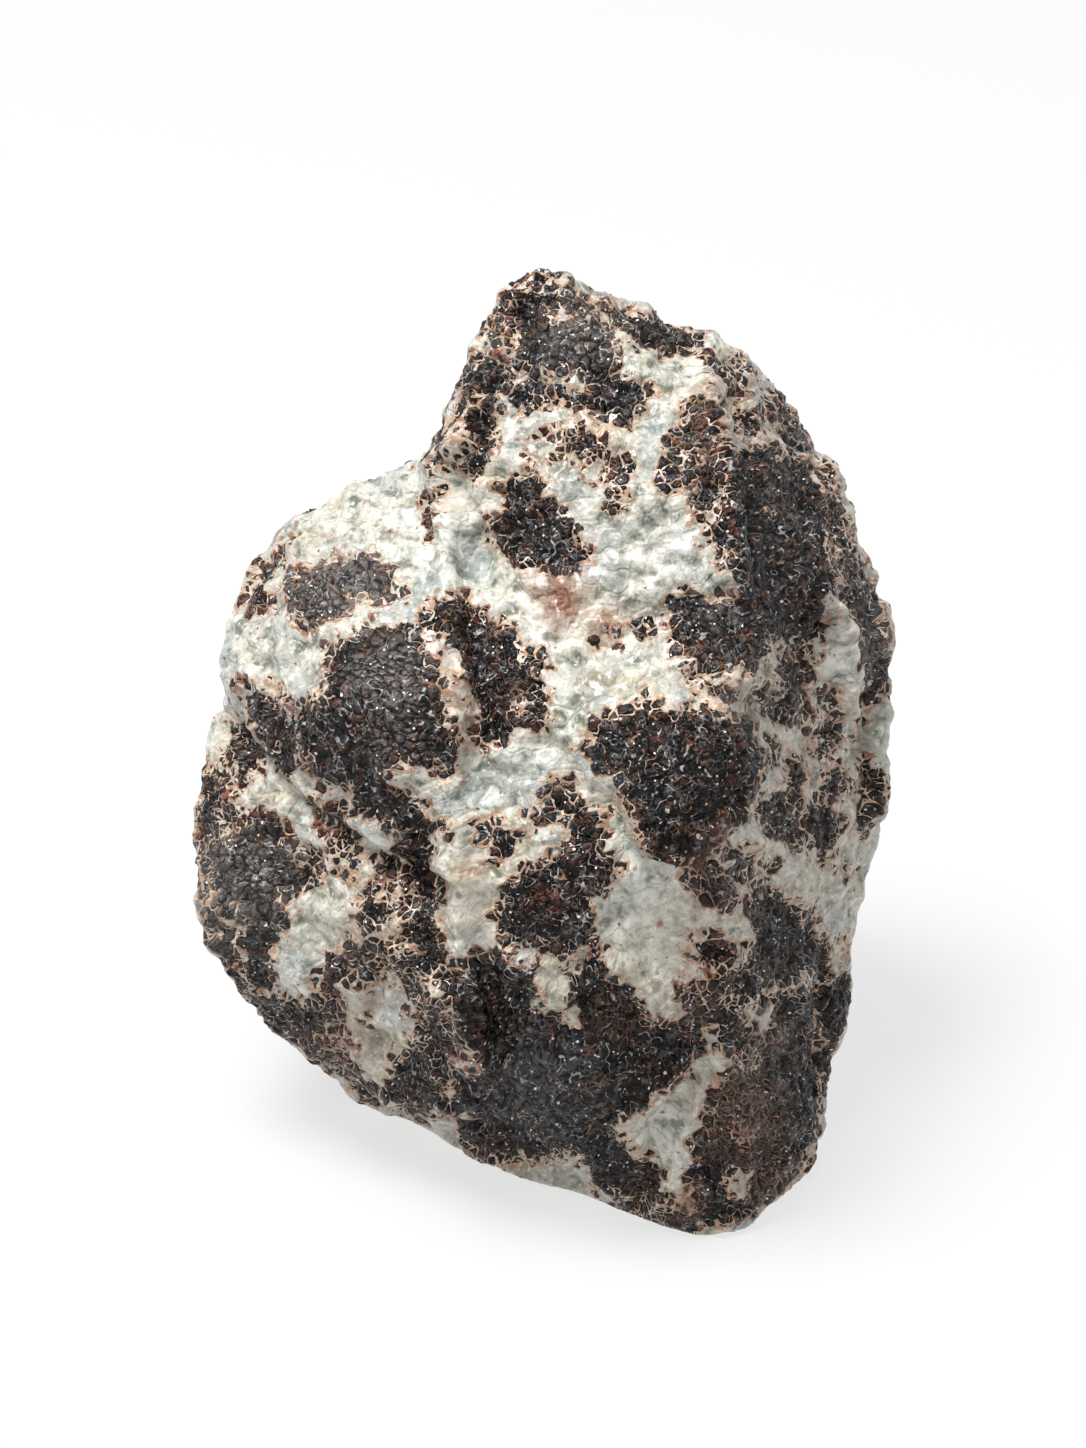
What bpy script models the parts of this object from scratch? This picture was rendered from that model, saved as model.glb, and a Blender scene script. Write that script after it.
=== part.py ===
"""A rough rock: one coarse-grained hand specimen, about 95 mm tall, standing on its flat underside.

The stone is worked the way a mason would rough it out. Five angular blocks, each the convex hull of its
own corners, are fused into one lump. The lump is weathered until its arrises are round, then ridges,
hollows and lumps are pressed into it, and its foot is cut off flat where it stands.

Lengths in the tables are millimetres. +Z is up, -Y is the broad face with the pale and dark patches,
and the origin is on the ground under the middle of the stone.
"""

from math import radians

import bmesh
import bpy
from mathutils import Matrix, Vector, noise

MM = 0.001

# Corners of the blocks (x, y, z)
CROWN = [
    (-3.6, 15.0, 94.4), (-0.5, 16.0, 95.8), (3.0, 17.5, 94.0),
    (7.5, 19.5, 90.6), (12.6, 21.5, 88.6), (18.4, 24.0, 85.2), (23.4, 26.0, 80.9),
    (27.9, 28.0, 75.2), (31.6, 28.5, 69.2), (35.0, 26.0, 62.2), (37.4, 22.0, 55.5),
    (-5.8, 14.0, 90.0), (-8.4, 11.0, 85.5), (-10.6, 9.0, 81.0), (-13.0, 7.0, 76.0),
    (15.6, 13.0, 85.8), (18.0, 4.0, 83.0), (20.0, -2.5, 78.0), (21.2, -9.0, 71.0),
    (5.0, 3.0, 83.5), (10.0, -3.5, 78.5), (1.7, -11.5, 67.0),
    (30.0, 2.0, 64.0), (34.0, 10.0, 52.0),
    (6.0, 27.0, 88.0), (20.0, 33.0, 76.0), (-9.0, 26.0, 77.0), (-6.0, 36.0, 58.0), (30.0, 34.0, 54.0),
]
BODY = [
    (7.8, -18.0, 64.5), (13.8, -22.5, 58.0), (20.5, -17.0, 63.0), (5.7, -27.0, 47.5),
    (17.5, -26.5, 42.0), (-0.5, -28.0, 32.5), (-12.0, 8.0, 74.0), (-9.5, -17.0, 60.0), (21.2, -11.5, 67.5), (-9.8, -22.4, 45.0),
    (38.4, 19.0, 53.0), (36.7, 12.0, 37.0), (36.4, 8.0, 28.0), (31.4, 3.5, 16.0), (31.2, 0.0, 2.0),
    (22.4, -22.0, -2.0), (17.2, -22.4, -2.0), (29.6, -11.8, -2.0), (10.6, -17.0, -2.5),
    (-1.4, -11.8, -2.0), (-10.4, -5.6, -2.0), (-16.6, 2.0, -2.0),
    (27.0, 22.0, -2.0), (8.0, 29.0, -2.0), (-12.0, 24.0, -2.0),
    (34.0, 30.0, 56.0), (24.0, 37.0, 46.0), (31.0, 30.0, 18.0), (12.0, 37.5, 20.0), (-8.0, 37.0, 26.0),
    (4.0, 39.5, 50.0), (10.0, 37.0, 68.0),
]
SHOULDER = [
    (-11.0, 12.5, 75.6), (-22.6, 20.0, 68.6), (-28.8, 20.5, 64.8), (-33.4, 17.0, 61.2),
    (-35.6, 10.0, 57.8), (-34.9, 3.5, 52.6), (-26.0, -2.7, 63.6), (-17.0, -4.5, 67.6), (-9.6, -4.0, 71.6),
    (-24.0, -11.6, 56.0), (-12.5, -21.0, 52.0), (-8.5, -16.7, 62.4), (-32.0, -2.2, 54.5),
    (-27.0, -8.6, 51.0), (-19.5, -15.6, 49.0), (-13.0, -20.6, 46.0), (-34.4, 6.0, 47.0),
    (-32.0, 24.0, 50.0), (-22.0, 32.0, 58.0), (-9.0, 34.0, 66.0), (-16.0, 35.0, 38.0), (2.0, 36.0, 40.0),
    (2.0, -14.0, 46.0),
]
HAUNCH = [
    (-33.0, 7.5, 49.0), (-35.4, 4.6, 45.0), (-38.0, 3.4, 38.5), (-39.1, 0.0, 32.0),
    (-38.0, -2.6, 26.6), (-35.6, -3.5, 20.4), (-31.2, -2.4, 14.0), (-23.6, 1.4, 5.6), (-16.0, 2.0, -2.0),
    (-27.4, -6.8, 47.6), (-25.0, -11.6, 40.0), (-16.5, -16.4, 44.5), (-18.0, -18.4, 35.0), (-10.0, -25.5, 30.5), (-9.8, -19.4, 14.0),
    (-37.0, 17.0, 42.0), (-32.0, 25.0, 44.0), (-29.0, 24.0, 20.0), (-17.0, 34.0, 32.0), (-14.0, 24.0, -2.0),
    (0.0, 30.0, 4.0), (0.0, 34.0, 50.0), (0.0, -16.0, 10.0), (0.0, -16.0, 44.0),
]
BACK = [
    (-7.0, 35.0, 68.0), (6.0, 38.5, 64.0), (-20.0, 32.0, 59.0), (-31.0, 25.0, 50.0), (-34.0, 22.0, 36.0),
    (-24.0, 27.0, 18.0), (-10.0, 34.0, 14.0), (4.0, 37.5, 24.0), (3.0, 40.0, 48.0), (-14.0, 36.0, 44.0),
    (0.0, 10.0, 40.0),
]
BLOCKS = {"crown": CROWN, "body": BODY, "shoulder": SHOULDER, "haunch": HAUNCH, "back": BACK}

# Ridges, hollows and lumps: from, to, reach, and how far they lift the surface (hollows are negative)
PRESSED = {
    "knob beside the peak": ((-4.2, 15.2, 93.4), (-4.2, 15.2, 93.4), 3.4, 0.9),
    "dip behind the peak": ((4.4, 16.0, 92.6), (4.4, 18.0, 92.6), 3.4, -0.6),
    "knob on the crest": ((9.5, 19.0, 90.0), (9.5, 19.0, 90.0), 3.2, 0.5),
    "dip on the crest": ((14.5, 20.5, 87.0), (14.5, 23.0, 87.0), 3.6, -0.6),
    "left edge of the crown face": ((-3.8, 10.0, 88.0), (-7.6, 5.2, 79.6), 4.0, 0.9),
    "end of that edge": ((-7.6, 5.2, 79.6), (-8.8, 0.0, 73.5), 3.6, 0.7),
    "right arris of the crown": ((15.7, 14.0, 85.6), (18.5, -1.4, 79.0), 4.2, 0.7),
    "foot of the right arris": ((18.5, -1.4, 79.0), (20.9, -7.2, 69.5), 4.2, 0.8),
    "hollow beside the arris": ((25.7, -1.6, 69.6), (27.8, 0.2, 60.0), 6.0, -1.3),
    "step on the crown face": ((2.0, -2.0, 78.6), (9.0, -4.4, 77.6), 4.5, 0.7),
    "saddle above the shoulder": ((-11.0, -1.0, 71.0), (-9.0, -10.0, 66.5), 5.0, -0.6),
    "front of the shoulder": ((-19.0, -11.0, 59.5), (-15.0, -15.0, 57.0), 10.0, 1.1),
    "channel beside the shoulder": ((-6.9, -16.6, 61.2), (-4.0, -21.0, 54.0), 5.5, -0.8),
    "crease under the shoulder": ((-31.0, -4.6, 50.6), (-19.0, -14.4, 47.6), 4.0, -0.4),
    "end of that crease": ((-19.0, -14.4, 47.6), (-12.6, -19.0, 42.0), 4.0, -0.3),
    "side of the haunch": ((-31.3, -7.4, 36.0), (-31.3, -7.4, 31.0), 9.0, 0.7),
    "upright ridge": ((-9.8, -22.0, 42.0), (-8.6, -23.8, 29.0), 4.2, 0.7),
    "foot of the upright ridge": ((-8.6, -23.8, 29.0), (-9.4, -16.6, 13.0), 4.6, 1.0),
    "channel left of the ridge": ((-16.0, -17.5, 33.0), (-15.0, -14.5, 20.0), 4.6, -0.7),
    "bulge in the middle": ((11.0, -23.0, 56.0), (16.0, -23.0, 53.0), 11.0, 1.4),
    "hollow under the bulge": ((8.0, -26.6, 43.5), (16.0, -26.8, 38.0), 7.0, -1.1),
    "lower front": ((0.0, -23.8, 22.0), (8.0, -25.0, 24.0), 9.0, 0.8),
    "hollow above the toe": ((13.0, -24.4, 17.0), (11.0, -23.4, 9.0), 5.5, -0.8),
    "pale vein on the right": ((31.8, 5.2, 59.0), (33.0, 5.6, 51.0), 3.4, 0.8),
    "bump on the right edge": ((37.8, 16.0, 54.5), (37.8, 14.6, 53.0), 4.6, 0.7),
    "dip under that bump": ((37.4, 13.0, 47.0), (36.0, 9.0, 46.0), 4.8, -1.9),
    "second bump": ((36.2, 9.0, 38.6), (36.0, 8.4, 37.4), 4.2, 0.8),
    "second dip": ((35.6, 7.0, 32.4), (35.4, 7.0, 31.6), 3.8, -0.5),
    "dip low on the right": ((31.0, -2.0, 19.0), (30.2, -5.0, 13.0), 6.0, -1.7),
    "dip on the left edge": ((-35.6, 4.6, 48.6), (-35.0, 1.0, 47.0), 5.0, -1.3),
    "ledge across the back": ((-12.0, 37.0, 40.0), (16.0, 38.0, 52.0), 6.0, 1.0),
    "hollow below that ledge": ((-4.0, 39.0, 30.0), (18.0, 37.6, 36.0), 8.0, -1.2),
    "hollow high on the back": ((4.0, 36.0, 72.0), (16.0, 34.0, 68.0), 7.0, -1.0),
    "lump on the right side": ((33.0, 20.0, 34.0), (33.0, 24.0, 28.0), 8.0, 0.9),
    "hollow in the right side": ((35.0, 22.0, 44.0), (32.0, 26.0, 14.0), 5.0, -0.7),
}

# Weathering: voxel size of the fused lump, and how far its arrises are worn round
VOXEL = 1.3
WEAR_FACTOR = 0.5
WEAR_PASSES = 10

# Uneven fracture surface: size of the lumps and how far they stand out
SWELL_SIZE, SWELL_LIFT = 17.0, 1.1
LUMP_SIZE, LUMP_LIFT = 6.5, 0.55

# About how many triangles the stone keeps, the height it is cut off at, and the sharpest angle shaded smooth
TRIANGLES = 9400
GROUND = 0.0
FOOT_EDGE = 50.0


def clear_scene():
    for item in list(bpy.data.objects):
        bpy.data.objects.remove(item, do_unlink=True)


def collection_named(name):
    made = bpy.data.collections.new(name)
    bpy.context.scene.collection.children.link(made)
    return made


def add_block(bm, corners):
    """Adds the convex hull of these corners to bm."""
    points = [bm.verts.new(Vector(corner) * MM) for corner in corners]
    hull = bmesh.ops.convex_hull(bm, input=points)
    buried = [item for item in hull["geom_interior"] if isinstance(item, bmesh.types.BMVert)]
    bmesh.ops.delete(bm, geom=buried, context="VERTS")


def rough_lump(where):
    """The blocks fused into one closed lump with worn arrises."""
    mesh = bpy.data.meshes.new("lump")
    bm = bmesh.new()
    for corners in BLOCKS.values():
        add_block(bm, corners)
    bm.to_mesh(mesh)
    bm.free()
    lump = bpy.data.objects.new("lump", mesh)
    where.objects.link(lump)
    fuse = lump.modifiers.new("Fuse", "REMESH")
    fuse.mode = "VOXEL"
    fuse.voxel_size = VOXEL * MM
    wear = lump.modifiers.new("Wear", "SMOOTH")
    wear.factor = WEAR_FACTOR
    wear.iterations = WEAR_PASSES
    return lump


def evaluated_mesh(item, name):
    """The object's mesh with its modifiers applied."""
    bpy.context.view_layer.update()
    graph = bpy.context.evaluated_depsgraph_get()
    mesh = bpy.data.meshes.new_from_object(item.evaluated_get(graph))
    mesh.name = name
    return mesh


def pressed_lift(at):
    """How far the named ridges, hollows and lumps lift the surface at this point, in millimetres."""
    lift = 0.0
    for start, end, reach, height in PRESSED.values():
        begin = Vector(start)
        along = Vector(end) - begin
        share = 0.0
        if along.length > 0:
            share = max(0.0, min(1.0, (at - begin).dot(along) / along.length_squared))
        distance = (at - begin - along * share).length
        if distance < reach:
            lift += height * (1 - (distance / reach) ** 2) ** 2
    return lift


def fracture_lift(at):
    """How far the uneven fracture lifts the surface at this point, in millimetres."""
    swells = SWELL_LIFT * noise.fractal(at / SWELL_SIZE, 1.0, 2.0, 2)
    lumps = LUMP_LIFT * noise.fractal(at / LUMP_SIZE, 1.0, 2.0, 2)
    return swells + lumps


def press_surface(mesh):
    """Moves each point along its normal."""
    normals = [vertex.normal.copy() for vertex in mesh.vertices]
    for vertex, normal in zip(mesh.vertices, normals):
        at = vertex.co / MM
        vertex.co += normal * (pressed_lift(at) + fracture_lift(at)) * MM


def thin_out(item, triangles):
    """Collapses the mesh to about this many triangles."""
    thin = item.modifiers.new("Thin", "DECIMATE")
    faces = sum(len(face.vertices) - 2 for face in item.data.polygons)
    thin.ratio = triangles / faces
    thin.use_collapse_triangulate = True


def cut_foot_flat(mesh):
    """Cuts off what is below the ground, so that the stone stands on a flat face."""
    bm = bmesh.new()
    bm.from_mesh(mesh)
    everything = bm.verts[:] + bm.edges[:] + bm.faces[:]
    cut = bmesh.ops.bisect_plane(
        bm, geom=everything, plane_co=(0, 0, GROUND * MM), plane_no=(0, 0, -1), clear_outer=True
    )
    rim = [item for item in cut["geom_cut"] if isinstance(item, bmesh.types.BMEdge)]
    bmesh.ops.holes_fill(bm, edges=rim, sides=0)
    bmesh.ops.triangulate(bm, faces=[face for face in bm.faces if len(face.verts) > 3])
    bmesh.ops.recalc_face_normals(bm, faces=bm.faces)
    bm.to_mesh(mesh)
    bm.free()


def middle_on_ground(mesh):
    """The point of the ground under the middle of the stone."""
    xs = [vertex.co.x for vertex in mesh.vertices]
    ys = [vertex.co.y for vertex in mesh.vertices]
    return Vector(((min(xs) + max(xs)) / 2, (min(ys) + max(ys)) / 2, GROUND * MM))


def stone_material():
    material = bpy.data.materials.new("mottled stone")
    material.use_nodes = True
    shader = material.node_tree.nodes["Principled BSDF"]
    shader.inputs["Base Color"].default_value = (0.13, 0.115, 0.10, 1.0)
    shader.inputs["Roughness"].default_value = 0.62
    shader.inputs["Metallic"].default_value = 0.0
    return material


def worked_stone(where):
    """The finished stone as an object, still where the tables put it."""
    lump = rough_lump(where)
    mesh = evaluated_mesh(lump, "rock")
    bpy.data.objects.remove(lump, do_unlink=True)
    press_surface(mesh)
    rock = bpy.data.objects.new("rock", mesh)
    where.objects.link(rock)
    thin_out(rock, TRIANGLES)
    worked = evaluated_mesh(rock, "rock")
    rock.modifiers.clear()
    rock.data = worked
    cut_foot_flat(worked)
    return rock


def build_rock():
    rock = worked_stone(collection_named("Rock"))
    rock.data.transform(Matrix.Translation(-middle_on_ground(rock.data)))
    rock.data.materials.append(stone_material())
    rock.data.shade_smooth()
    rock.data.set_sharp_from_angle(angle=radians(FOOT_EDGE))
    return rock


clear_scene()
build_rock()
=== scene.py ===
"""The looks of the rough rock: dark and pale minerals in coarse grains, with rust in the seams between them.

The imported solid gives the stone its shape. One piece, "stone", stands for it: the same lump with the grain
raised as real mesh, and one stone material. The dark patches are outlined as they lie in the photograph and
are laid onto the stone along the lines of sight. Where the photograph doesn't see the stone, patches of the
same kind are strewn over it.

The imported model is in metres. Everything about the stone's surface is in millimetres, and the outlines are
in pixels of the photograph.
"""

from math import cos, radians, sin

import bpy
import numpy as np
from mathutils import Matrix, Vector


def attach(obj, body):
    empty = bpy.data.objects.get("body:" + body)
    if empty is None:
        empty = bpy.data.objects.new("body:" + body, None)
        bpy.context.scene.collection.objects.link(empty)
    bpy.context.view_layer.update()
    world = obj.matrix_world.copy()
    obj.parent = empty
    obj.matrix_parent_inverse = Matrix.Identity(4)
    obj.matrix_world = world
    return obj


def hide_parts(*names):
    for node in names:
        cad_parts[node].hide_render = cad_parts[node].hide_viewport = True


MM = 0.001
SAME_POINT = 0.01 * MM

# The photograph's frame in pixels, and the camera that took it
PHOTO_WIDE = 1086
PHOTO_HIGH = 1448
CAMERA_LENS = 100.0
CAMERA_SENSOR = 36.0
CAMERA_LOOKS_DOWN = 27.0
CAMERA_AWAY = 430.0
CAMERA_AIM = (-0.25, -6.16, 50.0)

# Mesh of the stone: voxel size, smoothing passes, the height over which the relief fades out at the foot, and
# how much the grain's pattern is squeezed along the line of sight, as the grains on the flanks run deep
VOXEL = 0.55
SMOOTHING = 5
FOOT_FADE = 1.2
SIGHT_SQUEEZE = 0.6

# Grains: their sizes, how their borders wander (size of the waves and how far they reach, as shares of the
# grain), how much wider the small ones' borders are taken, and where they take over, above all in net zones
GRAIN_SIZE = 1.3
SMALL_GRAIN_SIZE = 0.85
BORDER_WAVES = [(0.8, 0.6), (0.3, 0.1)]
SMALL_GRAIN_EDGE = 1.3
GRAIN_ZONE_SIZE = 8.0
SMALL_IN_NETS = 0.07
SMALL_FROM = 0.55
CRYSTAL_SIZE = 2.6

# Relief, in millimetres: the grains' domes and how dark the mineral is where they rise, the crystals' steps,
# the ripples in the pale mineral, and the lumps, knobs and pits in both
GRAIN_LIFT = 0.45
GRAIN_DOME = 0.45
GRAIN_LOWEST = 0.6
GRAIN_SPREAD = 0.8
GRAINS_FROM = -0.8
GRAINS_FULLY = 0.4
CRYSTAL_LIFT = 0.2
CRYSTAL_DOME = 0.9
CRYSTAL_STEP = 0.12
RIPPLE_SIZE = 1.5
RIPPLE_DETAIL = 2.0
RIPPLE_LIFT = 0.6
LUMP_SIZE = 5.5
LUMP_LIFT = 2.2
KNOB_SIZE = 2.4
KNOB_LIFT = 1.5
PIT_SIZE = 4.5
PIT_REACH = 0.2
PIT_FLOOR = 0.08
PIT_DEPTH = 0.35

# Darkness of a grain. Whole grains stray over the edge of a dark patch, and the ragged fringe wavers. Towards
# its border a grain loses darkness over the width given, so that near a patch's edge, in a net zone and where
# the veins run, it has a pale border. Deep inside a patch the cap is lifted, and the grains lie close.
STRAY_MIDDLE = 0.12
STRAY = 1.15
FRINGE_SIZE = 0.5
FRINGE = 0.9
BORDER_LOSS = 1.0
BORDER_WIDTH = 0.22
EDGE_CAP = 1.0
DEEP_FROM = 0.3
DEEP_FULLY = 1.6
DEEP_GAIN = 3.0
VEINED_SIZE = 5.0
NET_LOSS = 0.42
NET_GAIN = 0.3
LEAST_OUTSIDE = -1.7
LEAST_IN_NETS = -0.72
CONTACT = 0.1

# The seam where the two minerals meet, half as wide as this, and how far rust has bled out of the dark one
RIM_WIDTH = 0.13
BLED_REACH = -1.1

# The thin glassy coat of the pale mineral
PALE_GLOSS = 0.3
GLOSS_ROUGHNESS = 0.14

# Patterns in the dark mineral, their sizes in millimetres and how strongly each shows
BLOTCH_SIZE = 7.0
MOTTLE_SIZE = 0.5
HUE_SIZE = 1.6
BLUISH = 0.75
REDDENED = 0.85
THREADS = 0.42
# The curled threads are partly painted glints
CURLED_THREADS_AND_GLINTS = 0.7

# Patterns in the pale mineral, in the same way
BROAD_SIZE = 6.0
CLOUD_SIZE = 2.8
FINE_SIZE = 0.7
SPECKLE_SIZE = 0.28
VEIN_SIZE = 1.5
ICY = 0.65
CREAMY = 0.6
VEINS = 0.4
CRYSTAL_SEAMS = 0.4

# Finer marks: plates and curled threads within the dark grains, the curled ones partly painted glints, white
# specks in them that are partly white crystals and partly painted glints (cell size, reach as a share of it,
# rarity), and pits in the pale mineral (the same, and the reach of the stain round them)
PLATE_SIZE = 0.6
CURL_SIZE = 0.9
GLINTS = [(0.65, 0.19, 0.62), (1.1, 0.14, 0.5), (2.1, 0.1, 0.4)]
PITS = [(1.3, 0.11, 0.6, 0.2), (2.6, 0.09, 0.45, 0.2)]

# The table: its size in metres, how far it lies below the stone in millimetres, its own glow and its paint
TABLE_SIZE = 12.0
TABLE_GAP = 0.05
TABLE_GLOW = 0.705
TABLE_PAINT = "6e6e6e"

# Light: strength of the white surroundings, and the lamp's place, size and power
SURROUNDINGS_LIGHT = 0.58
KEY_LAMP = ((-0.36, -0.16, 1.27), 0.5, 27.5)

# Where the outlined patches give way to strewn ones, and the forms of the photograph end: how squarely the
# surface faces the camera
SEEN_FROM = 0.0
SEEN_WHOLLY = 0.12
FORMED_FROM = -0.35
FORMED_WHOLLY = 0.05

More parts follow.
